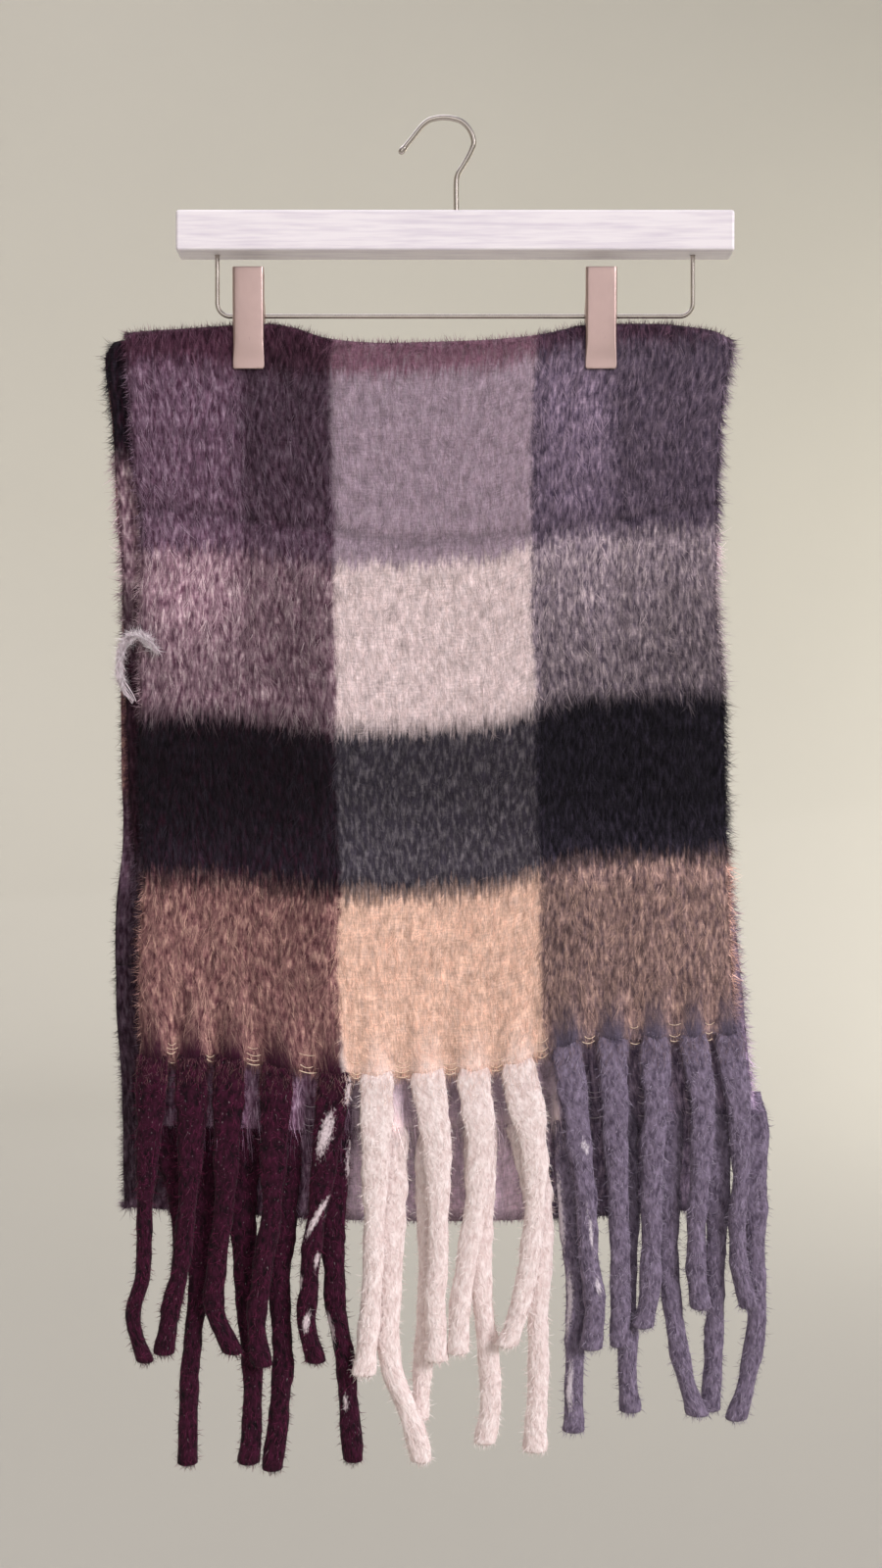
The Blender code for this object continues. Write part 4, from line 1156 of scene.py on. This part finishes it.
def strand_surface(strand, hem, depth, middle_y, root_half_width, pale, seed):
    """The skin of one strand: it comes out of the cloth's rib, is gathered round, lumpy and cut blunt."""
    run = strand.tip_drop - through(hem, "x", "drop", strand.root_x)
    shares = np.linspace(-ROOT_RUN / run, 1.0, STRAND_ROWS)
    closing = 1 - TIP_RUN / run
    tip = closing + (1 - closing) * np.sin(np.linspace(0, math.pi / 2, 6))
    shares = np.concatenate([shares[shares < closing - 0.004], tip])
    angles = np.linspace(0, math.tau, STRAND_SIDES + 1)
    points, uv, bare = [], [], []
    for share in shares:
        ring = strand_ring(strand, hem, depth, middle_y, root_half_width, max(share, 0.0))
        x, y, drop, half_width, half_depth, tilt = ring
        above = max(0.0, -share * run) / ROOT_RUN
        drop -= above * ROOT_RUN
        y = mix(y, depth(x, drop) + ROOT_SINK, smoothstep(1.7 * above)) if above else y
        half_width *= 1 - 0.4 * above
        wiggle = smoothstep(share / 0.3)
        x += STRAND_SWAY[0] * wiggle * noise.noise(Vector((seed, share * run / 26, 0)))
        y += STRAND_SWAY[1] * wiggle * noise.noise(Vector((seed, share * run / 22, 7)))
        flare = 1 + TIP_FLARE * smoothstep((share - 0.9) / 0.08)
        end = math.sqrt(max(0.0, 1 - max(0.0, (share - closing) / (1 - closing)) ** 2))
        girth = 1 + GIRTH_SWELL * noise.noise(Vector((seed * 3.1, share * run / 17, 3)))
        row, row_uv, row_bare = [], [], []
        for angle in angles:
            around = Vector((math.sin(angle), math.cos(angle), 0))
            lump = noise.noise(Vector((around.x * 1.6, around.y * 1.6 + seed, share * run / 6.5)))
            ply = math.cos(2 * angle - share * run / 7)
            swell = flare * girth * end * (1 + LUMP_SWELL * lump + PLY_SWELL * ply * wiggle)
            side = -half_width * swell * around.x
            row.append((x + side, y - half_depth * swell * around.y, -(drop + side * tilt)))
            row_uv.append((angle / math.tau * 30 + seed * 41, share * run))
            row_bare.append(max([pale_at(spot, share, angle) for spot in pale], default=0.0))
        points.append(row)
        uv.append(row_uv)
        bare.append(row_bare)
    points, bare = np.array(points), np.array(bare)
    return Surface(points, np.array(uv), np.ones(bare.shape), bare)


def pale_at(spot, share, angle):
    """How much of a pale end shows at a place of a strand: 1 at its middle and 0 past its edges."""
    along = (share - spot.middle) / spot.half_run
    aside = (angle - spot.side - spot.slant * along + math.pi) % math.tau - math.pi
    return smoothstep(1.3 - math.hypot(along, aside / spot.half_side))


def yarn_fibres(name, surfaces, each, seed, material):
    """Short brushed fibres along every strand of a group."""
    rng = np.random.default_rng(seed)
    columns = STRAND_SIDES
    found = []
    for surface in surfaces:
        row = rng.uniform(2, surface.points.shape[0] - 2, each)
        column = rng.uniform(0, columns, each)
        out, along, sideways = directions(surface, row, column)
        roots = grid_value(surface.points, row, column)
        turn = rng.normal(0, 0.9, (each, 1))
        lift = out * rng.uniform(0.1, 1.1, (each, 1))
        heading = unit(along * np.cos(turn) + sideways * np.sin(turn) + lift)
        length = rng.uniform(1.5, 6.0, (each, 1))
        bend = rng.normal(0, 0.25, (each, 1))
        hairs = Hairs(row, column, roots, heading, out, length, 0.3, bend, rng.uniform(0, 1, each))
        found.append(fibre_object(name, surface, hairs, rng, material))
    return joined(name, found)


def root_hairs(name, surfaces, edges, hem_v, seed):
    """The cloth's own nap where it hangs over the tops of the strands, thinner further down."""
    rng = np.random.default_rng(seed)
    found = []
    for surface in surfaces:
        x, drop = surface.points[..., 0], -surface.points[..., 2]
        left, right = [np.interp(drop, [row.drop for row in edges], [getattr(row, side) for row in edges])
                       for side in ("left", "right")]
        uv = np.stack([(x - left) / (right - left) * CUT_WIDTH, np.full(x.shape, hem_v)], axis=2)
        cloth = surface._replace(uv=uv, bare=np.full(x.shape, 0.5))
        row = 2 + ROOT_HAIR_ROWS * rng.beta(1.0, 2.0, ROOT_HAIRS)
        column = rng.uniform(0, STRAND_SIDES, ROOT_HAIRS)
        out, along, sideways = directions(surface, row, column)
        turn = rng.normal(0, 0.35, (ROOT_HAIRS, 1))
        heading = unit(along * np.cos(turn) + sideways * np.sin(turn) + out * 0.05)
        roots = grid_value(surface.points, row, column)
        length = rng.uniform(2, 6, (ROOT_HAIRS, 1))
        bend = rng.normal(0, 0.15, (ROOT_HAIRS, 1))
        level = rng.uniform(0, 0.7, ROOT_HAIRS)
        hairs = Hairs(row, column, roots, heading, out, length, 0.17, bend, level)
        found.append(fibre_object(name, cloth, hairs, rng, NAP))
    return joined(name, found)


def joined(name, pieces):
    """Several pieces as one mesh."""
    with bpy.context.temp_override(active_object=pieces[0], selected_editable_objects=pieces):
        bpy.ops.object.join()
    pieces[0].name = name
    return pieces[0]


def build_fringe():
    pieces = []
    for row_name, fringe, hem, depth, middle_y, edges, hem_v in (
        ("front", FRONT_FRINGE, FRONT_HEM, front_y, FRONT_STRAND_Y, FRONT_EDGES, 6.0),
        ("rear", REAR_FRINGE, SECOND_HEM, second_y, REAR_STRAND_Y, SECOND_EDGES, CUT_LENGTH - 6.0),
    ):
        for colour, strands in fringe.items():
            surfaces = []
            bm = bmesh.new()
            for i, strand in enumerate(strands):
                pale = PALE_ENDS.get((row_name, colour, i), ())
                seed = strand.root_x * 0.37 + strand.tip_drop * 0.11
                wide = ROOT_HALF_WIDTH[colour]
                surface = strand_surface(strand, hem, depth, middle_y, wide, pale, seed)
                surfaces.append(surface)
                absorb(bm, sheet_object("strand", surface, YARN[colour], closed=True))
            name = f"{row_name}_{colour}_strands"
            group = finished(name, bm, YARN[colour])
            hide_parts(f"fringe_{row_name}_{colour}")
            seed = len(pieces) + 40
            fuzz = yarn_fibres(f"{row_name}_{colour}_strand_nap", surfaces, 1500, seed, YARN_NAP[colour])
            hem_hairs = root_hairs(f"{row_name}_{colour}_hem_nap", surfaces, edges, hem_v, seed + 20)
            pieces += [group, fuzz, hem_hairs]
    return pieces


def tube_surface(path, radii, sides, start=None):
    """The skin of a tube along a path of points, its rings kept from twisting."""
    path = np.array(path, float)
    heading = unit(np.gradient(path, axis=0))
    normal = np.array(start or (0.0, 1.0, 0.0))
    angles = np.linspace(0, math.tau, sides + 1)
    points = []
    for place, ahead, radius in zip(path, heading, np.broadcast_to(radii, len(path))):
        normal = normal - ahead * normal.dot(ahead)
        normal /= np.linalg.norm(normal)
        other = np.cross(ahead, normal)
        points.append([place + radius * (normal * math.cos(a) + other * math.sin(a)) for a in angles])
    points = np.array(points)
    length = np.concatenate([[0], np.cumsum(np.linalg.norm(np.diff(path, axis=0), axis=1))])
    uv = np.stack(np.broadcast_arrays(angles[None, :] * 2, length[:, None]), axis=2)
    return Surface(points, uv, np.ones(points.shape[:2]), np.zeros(points.shape[:2]))


def closed_ends(path, radius, rows=5):
    """The path with its ends drawn to a blunt round point, and the radius at each of its points."""
    path = [Vector(p) for p in path]
    first, last = (path[0] - path[1]).normalized(), (path[-1] - path[-2]).normalized()
    turns = [math.pi / 2 * i / rows for i in range(rows)]
    head = [path[0] + first * radius * math.cos(turn) for turn in turns]
    tail = [path[-1] + last * radius * math.cos(turn) for turn in reversed(turns)]
    swell = [radius * math.sin(turn) for turn in turns]
    return head + path + tail, swell + [radius] * len(path) + swell[::-1]


def build_rungs(name, hem, fringe, depth, spacing, radii, material, seed):
    """The weft threads that bridge the gaps between roots: one rung for each radius, the lowest first."""
    rng = np.random.default_rng(seed)
    roots = sorted(roots_of(fringe))
    bm = bmesh.new()
    for before, after in zip(roots, roots[1:]):
        shift = rng.normal(0, 0.8)
        for i, radius in enumerate(radii):
            if i and rng.uniform() < RUNG_LOSS:
                continue
            reach = (after - before) * rng.uniform(0.10, 0.16)
            middle = (before + after) / 2 + shift + rng.normal(0, 0.4)
            sag = rng.uniform(0.7, 1.7)
            up = spacing * (i + rng.normal(0, 0.15))
            path = []
            for share in np.linspace(-1, 1, 7):
                x = middle + reach * share
                hem_drop = through(hem, "x", "drop", x)
                drop = hem_drop + 0.6 - up + sag * (1 - share**2)
                y = depth(x, min(drop, hem_drop)) - WALL / 2 - 0.8 * (1 - share**2)
                path.append((x, y, -drop))
            absorb(bm, sheet_object("rung", tube_surface(path, radius, 5), material, closed=True))
    piece = finished(name, bm, material)
    return piece


def smooth_route(route, count):
    """The x and the drop of places on a smooth line through a route, each with its share of the way."""
    numbers = list(range(len(route)))
    xs, drops = [spot[0] for spot in route], [spot[1] for spot in route]
    for n in np.linspace(0, numbers[-1], count):
        yield curve_value(numbers, xs, n), curve_value(numbers, drops, n), n / numbers[-1]


def build_snag():
    """A pulled loop of pale yarn that curls past the left edge."""
    path = []
    for x, drop, share in smooth_route(LOOP_ROUTE, 40):
        swing = math.sin(math.pi * share)
        path.append((x, front_y(x, drop) - 2.5 - 2.0 * swing, -drop))
    rng = np.random.default_rng(71)
    noise.seed_set(71)  # noise_vector takes its offsets from the clock otherwise
    threads = []
    for k in range(LOOP_THREADS):
        wander = [Vector(noise.noise_vector(Vector((k * 5.1, i * 0.12, 0)))) for i in range(len(path))]
        apart = Vector(rng.normal(0, 1.5, 3))
        thread = [Vector(p) + apart * 0.5 + wander[i] * 3.0 for i, p in enumerate(path)]
        thread, radii = closed_ends(thread, 0.16 + 0.09 * (k % 3), 3)
        threads.append(tube_surface(thread, radii, 6))
    yarns = [sheet_object("thread", surface, YARN["mauve"], closed=True) for surface in threads]
    snag = joined("pulled_loop", yarns)
    count = LOOP_HAIRS
    fuzz = []
    for surface in threads:
        row, column = rng.uniform(3, len(path) - 4, count), rng.uniform(0, 6, count)
        out, along, sideways = directions(surface, row, column)
        heading = unit(out * rng.uniform(0.1, 0.8, (count, 1)) + along * rng.normal(0, 1.0, (count, 1)))
        length = rng.uniform(3, 9, (count, 1))
        bend = rng.normal(0, 0.35, (count, 1))
        roots = grid_value(surface.points, row, column)
        spread = unit(np.cross(heading, sideways))
        hairs = Hairs(row, column, roots, heading, spread, length, 0.3, bend, rng.uniform(0, 1, count))
        fuzz.append(fibre_object("thread_nap", surface, hairs, rng, YARN_NAP["mauve"]))
    fuzz = joined("pulled_loop_nap", fuzz)
    return [snag, fuzz]


# Hanger

BAR_EDGE = 1.9
SOCKET_PLAY = 0.45
BALL_SWELL = 0.28
BALL_PLACE = 10
BALL_RUN = 6.0
CLEARANCE = 0.3
CLIP_BEND = 1.5
CLIP_CROWN = 0.25
CLIP_CORNER = 1.1
CLIP_BROKEN_EDGE = 0.18


def apply_modifiers(obj):
    graph = bpy.context.evaluated_depsgraph_get()
    mesh = bpy.data.meshes.new_from_object(obj.evaluated_get(graph))
    obj.modifiers.clear()
    obj.data = mesh


def build_bar():
    """The board: eased edges and a round socket for each wire."""
    bm = bmesh.new()
    bmesh.ops.create_cube(bm, size=1.0)
    bmesh.ops.scale(bm, verts=bm.verts, vec=Vector((BAR_LENGTH, BAR_DEPTH, BAR_HEIGHT)) * MM)
    bmesh.ops.bevel(
        bm, geom=bm.edges[:], offset=BAR_EDGE * MM, offset_type="OFFSET", segments=5, profile=0.5,
        affect="EDGES", material=-1,
    )
    bmesh.ops.translate(bm, verts=bm.verts, vec=Vector((BAR_X, 0, -BAR_TOP - BAR_HEIGHT / 2)) * MM)
    for face in bm.faces:
        face.smooth = True
    bar = finished("painted_bar", bm, PAINT)
    foot = BAR_TOP + BAR_HEIGHT
    cutters = []
    for wire, x, drop in (
        (HOOK_WIRE, HOOK_ROUTE[0].x, BAR_TOP),
        (RAIL_WIRE, BAR_X - RAIL_HALF_SPAN, foot),
        (RAIL_WIRE, BAR_X + RAIL_HALF_SPAN, foot),
    ):
        bm = bmesh.new()
        radius = (wire / 2 + SOCKET_PLAY) * MM
        depth = 2 * (SOCKET_DEPTH + 1) * MM
        bmesh.ops.create_cone(bm, cap_ends=True, segments=32, radius1=radius, radius2=radius, depth=depth)
        bmesh.ops.translate(bm, verts=bm.verts, vec=Vector((x, 0, -drop)) * MM)
        cutter = finished("socket_cutter", bm, PAINT)
        cutters.append(cutter)
        boolean = bar.modifiers.new("socket", "BOOLEAN")
        boolean.operation = "DIFFERENCE"
        boolean.solver = "EXACT"
        boolean.object = cutter
    apply_modifiers(bar)
    for cutter in cutters:
        bpy.data.objects.remove(cutter)
    normals = bar.modifiers.new("flat_faces", "WEIGHTED_NORMAL")
    normals.keep_sharp = True
    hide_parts("hanger_bar")
    return bar


def build_hook():
    """The hook's wire on a smooth line through its route, with its end rolled to a small ball."""
    path, radii = closed_ends([(x, 0, -drop) for x, drop, _ in smooth_route(HOOK_ROUTE, 120)], HOOK_WIRE / 2)
    from_tip = len(path) - np.arange(len(path))
    radii = np.array(radii) * (1 + BALL_SWELL * np.exp(-((from_tip - BALL_PLACE) / BALL_RUN) ** 2))
    hook = sheet_object("hook_wire", tube_surface(path, radii, 24), WIRE, closed=True)
    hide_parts("hanger_hook")
    return hook


def build_rail():
    """The wire that carries the clips: two legs, two round corners and the run between."""
    foot = BAR_TOP + BAR_HEIGHT
    path = []
    for side in (-1, 1):
        leg = [(BAR_X + side * RAIL_HALF_SPAN, 0, -(foot - SOCKET_DEPTH + 1 + i * 6)) for i in range(7)]
        for i in range(13):
            angle = math.pi / 2 * i / 12
            x = RAIL_HALF_SPAN - RAIL_CORNER * (1 - math.cos(angle))
            drop = RAIL_DROP - RAIL_CORNER * (1 - math.sin(angle))
            leg.append((BAR_X + side * x, 0, -drop))
        path += leg if side < 0 else leg[::-1]
    path, radii = closed_ends(path, RAIL_WIRE / 2)
    rail = sheet_object("rail_wire", tube_surface(path, radii, 20), WIRE, closed=True)
    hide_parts("hanger_rail")
    return rail


def clip_section(half_width, stand_off, flange, side):
    """Across a clip's leaf: up one flange, over the slightly crowned plate and down the other flange."""
    bend = min(CLIP_BEND, max(flange, 0.02))
    half = []
    for i in range(6):
        half.append((half_width, stand_off - bend - (flange - bend) * (1 - i / 6)))
    for i in range(7):
        angle = math.pi / 2 * i / 6
        half.append((half_width - bend * (1 - math.cos(angle)), stand_off - bend * (1 - math.sin(angle))))
    for i in range(1, 6):
        x = (half_width - bend) * (1 - i / 5)
        half.append((x, stand_off + CLIP_CROWN * (1 - (x / half_width) ** 2)))
    whole = [(-x, y) for x, y in half] + half[-2::-1]
    return [(x, side * y) for x, y in whole]


def build_clip_leaf(name, node, centre, side, half_width):
    """A stamped leaf: plate and flanges in one sheet of steel."""
    drops = []
    for before, after in zip(CLIP_LEAF, CLIP_LEAF[1:]):
        count = max(2, round((after.drop - before.drop) / 1.2))
        drops += [mix(before.drop, after.drop, i / count) for i in range(count)]
    drops.append(CLIP_LEAF[-1].drop)
    places, flanges = [row.drop for row in CLIP_LEAF], [row.flange for row in CLIP_LEAF]
    rows = []
    for drop in drops:
        stand_off = through(CLIP_LEAF, "drop", "stand_off", drop)
        flange = float(np.interp(drop, places, flanges))
        beyond = max(0.0, 1 - (CLIP_FOOT - drop) / CLIP_CORNER)
        inset = CLIP_CORNER * (1 - math.sqrt(max(0.0, 1 - beyond**2)))
        section = clip_section(half_width - CLIP_SHEET / 2 - inset, stand_off, flange, side)
        rows.append([(centre + x, y, -drop) for x, y in section])
    points = np.array(rows)
    flat = np.zeros(points.shape[:2])
    leaf = sheet_object(name, Surface(points, np.zeros((*flat.shape, 2)), flat, flat), PLATE)
    wall = leaf.modifiers.new("steel", "SOLIDIFY")
    wall.thickness = CLIP_SHEET * MM
    wall.offset = 0.0
    edge = leaf.modifiers.new("broken_edge", "BEVEL")
    edge.width = CLIP_BROKEN_EDGE * MM
    edge.segments = 2
    edge.limit_method = "ANGLE"
    edge.angle_limit = math.radians(50)
    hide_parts(node)
    return leaf


def build_spring(side_name, centre):
    """The coil round the rail, with an arm up the inside of each leaf."""
    radius = RAIL_WIRE / 2 + CLEARANCE + SPRING_WIRE / 2 + 0.1
    per_turn = 20
    count = round((SPRING_TURNS + 0.5) * per_turn)
    points = []
    for i in range(count + 1):
        angle = math.tau * i / per_turn
        x = centre + SPRING_LENGTH * (i / count - 0.5)
        points.append((x, -radius * math.cos(angle), -(RAIL_DROP + radius * math.sin(angle))))
    inside = through(CLIP_LEAF, "drop", "stand_off", SPRING_ARM_TOP) - CLIP_SHEET / 2
    reach = inside - SPRING_WIRE / 2 - CLEARANCE
    first, last = Vector(points[0]), Vector(points[-1])
    arm = 8
    front = [first.lerp(Vector((first.x, -reach, -SPRING_ARM_TOP)), i / arm) for i in range(arm, 0, -1)]
    back = [last.lerp(Vector((last.x, reach, -SPRING_ARM_TOP)), i / arm) for i in range(1, arm + 1)]
    path, radii = closed_ends([*front, *points, *back], SPRING_WIRE / 2, 3)
    skin = tube_surface(path, radii, 10, (1.0, 0.0, 0.0))
    spring = sheet_object(f"{side_name}_spring_wire", skin, SPRING, closed=True)
    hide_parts(f"clip_{side_name}_spring")
    return spring


def build_clips():
    outer = CLIP_WIDTH / 2
    inner = outer - CLIP_SHEET - CLEARANCE
    for side_name, centre in CLIP_X.items():
        build_clip_leaf(f"{side_name}_clip_front_leaf", f"clip_{side_name}_front", centre, -1, outer)
        build_clip_leaf(f"{side_name}_clip_back_leaf", f"clip_{side_name}_back", centre, 1, inner)
        build_spring(side_name, centre)


# Stage, light and camera

FLOOR_Z = -1.35
STAGE_RADIUS = 6.0
STAGE_COVE = 2.0
STAGE_TOP = 5.0


def build_stage():
    """A plain pale floor that rises into a round wall, far enough out for a camera on any side."""
    bm = bmesh.new()
    flat = STAGE_RADIUS - STAGE_COVE
    profile = [(0.0, FLOOR_Z), (flat, FLOOR_Z)]
    for i in range(1, 13):
        angle = math.pi / 2 * i / 12
        profile.append((flat + STAGE_COVE * math.sin(angle), FLOOR_Z + STAGE_COVE * (1 - math.cos(angle))))
    profile.append((STAGE_RADIUS, STAGE_TOP))
    verts = [bm.verts.new((x, 0, z)) for x, z in profile]
    edges = [bm.edges.new(pair) for pair in zip(verts, verts[1:])]
    bmesh.ops.spin(
        bm, geom=verts + edges, cent=(0, 0, 0), axis=(0, 0, 1), angle=math.tau, steps=96, use_merge=True,
    )
    bmesh.ops.remove_doubles(bm, verts=bm.verts, dist=1e-5)
    bmesh.ops.recalc_face_normals(bm, faces=bm.faces)
    bmesh.ops.reverse_faces(bm, faces=bm.faces)
    for face in bm.faces:
        face.smooth = True
    mesh = mesh_of("studio_floor", bm)
    material, tree, shader = new_material("matt_studio_paint")
    place = add(tree, "TexCoord").outputs["Object"]
    mottle = grain(tree, place, 0.6)
    colour = blended(tree, mottle, linear("#a9a69c"), linear("#b1aea4"))
    plug(tree, shader, {"Base Color": colour, "Roughness": 0.95, "Specular IOR Level": 0.1})
    mesh.materials.append(material)
    stage = placed("studio_floor", mesh)
    stage.visible_shadow = False
    stage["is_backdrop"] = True


def add_light(name, kind, energy, colour, away):
    """A light whose back turns to the direction away."""
    light = bpy.data.lights.new(name, kind)
    light.energy = energy
    light.color = linear(colour)[:3]
    obj = placed(name, light)
    obj.rotation_euler = Vector(away).to_track_quat("Z", "Y").to_euler()
    return obj


def add_sun(name, towards, spread, strength, colour):
    """A very large far soft light: towards is the way to it, and spread its width in degrees."""
    sun = add_light(name, "SUN", strength, colour, towards)
    sun.data.angle = math.radians(spread)


def add_panel(name, location, target, size, power, colour):
    panel = add_light(name, "AREA", power, colour, Vector(location) - Vector(target))
    panel.data.shape = "DISK"
    panel.data.size = size
    panel.location = location
    panel.visible_camera = False


def build_light():
    world = bpy.data.worlds.new("pale_room")
    world.use_nodes = True
    background = world.node_tree.nodes["Background"]
    background.inputs["Color"].default_value = linear("#eeebf4")
    background.inputs["Strength"].default_value = 0.56
    bpy.context.scene.world = world
    add_sun("key", (1.55, -1.3, 0.95), 22, 2.55, "#fffbff")
    add_sun("overhead", (-0.4, 0.7, 1.5), 50, 1.25, "#f8f6ff")
    add_panel("front_panel", (-0.1, -3.7, 0.5), (0, 0, -0.42), 2.8, 21, "#fffbff")
    add_panel("wall_wash", (3.8, 2.6, 0.1), (2.1, 5.8, -0.4), 2.2, 190, "#fffcf6")
    bpy.context.scene.view_settings.view_transform = "Standard"
    bpy.context.scene.view_settings.look = "None"


def build_camera():
    camera = bpy.data.cameras.new("photo_view")
    camera.sensor_fit = "VERTICAL"
    camera.sensor_height = 36.0
    focal_px = CAMERA_DISTANCE / PIXEL
    camera.lens = camera.sensor_height * focal_px / PHOTO_HEIGHT_PX
    camera.clip_end = 50.0
    obj = placed("photo_view", camera)
    obj.location = Vector((CAMERA_X, CLOTH_Y - CAMERA_DISTANCE, -CAMERA_DROP)) * MM
    obj.rotation_euler = (math.pi / 2, 0, 0)
    bpy.context.scene.camera = obj


def write_sizes():
    """The frame's box and the dressed part's, as lists of corners; nothing writes them out."""
    boxes = {"frame": CAD_BOX, "dressed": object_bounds()}
    rows = {name: [list(corner) for corner in box] for name, box in boxes.items()}


build_camera()
build_light()
build_stage()
outer_cloth, inner_cloth = build_cloth()
nap = build_nap()
fringe = build_fringe()
front_rungs = build_rungs("front_hem_rungs", FRONT_HEM, FRONT_FRINGE, front_y, 3.4, FRONT_RUNGS, THREAD, 61)
second_rungs = build_rungs(
    "second_hem_rungs", SECOND_HEM, REAR_FRINGE, second_y, 4.4, SECOND_RUNGS, PALE_THREAD, 62,
)
snag = build_snag()
build_bar()
build_hook()
build_rail()
build_clips()

front_pieces = [piece for piece in nap if not piece.name.startswith(("second", "inner"))]
front_pieces += [piece for piece in fringe if piece.name.startswith("front")] + [front_rungs, *snag]
second_pieces = [piece for piece in nap if piece.name.startswith(("second", "inner"))]
second_pieces += [piece for piece in fringe if piece.name.startswith("rear")] + [second_rungs]

write_sizes()
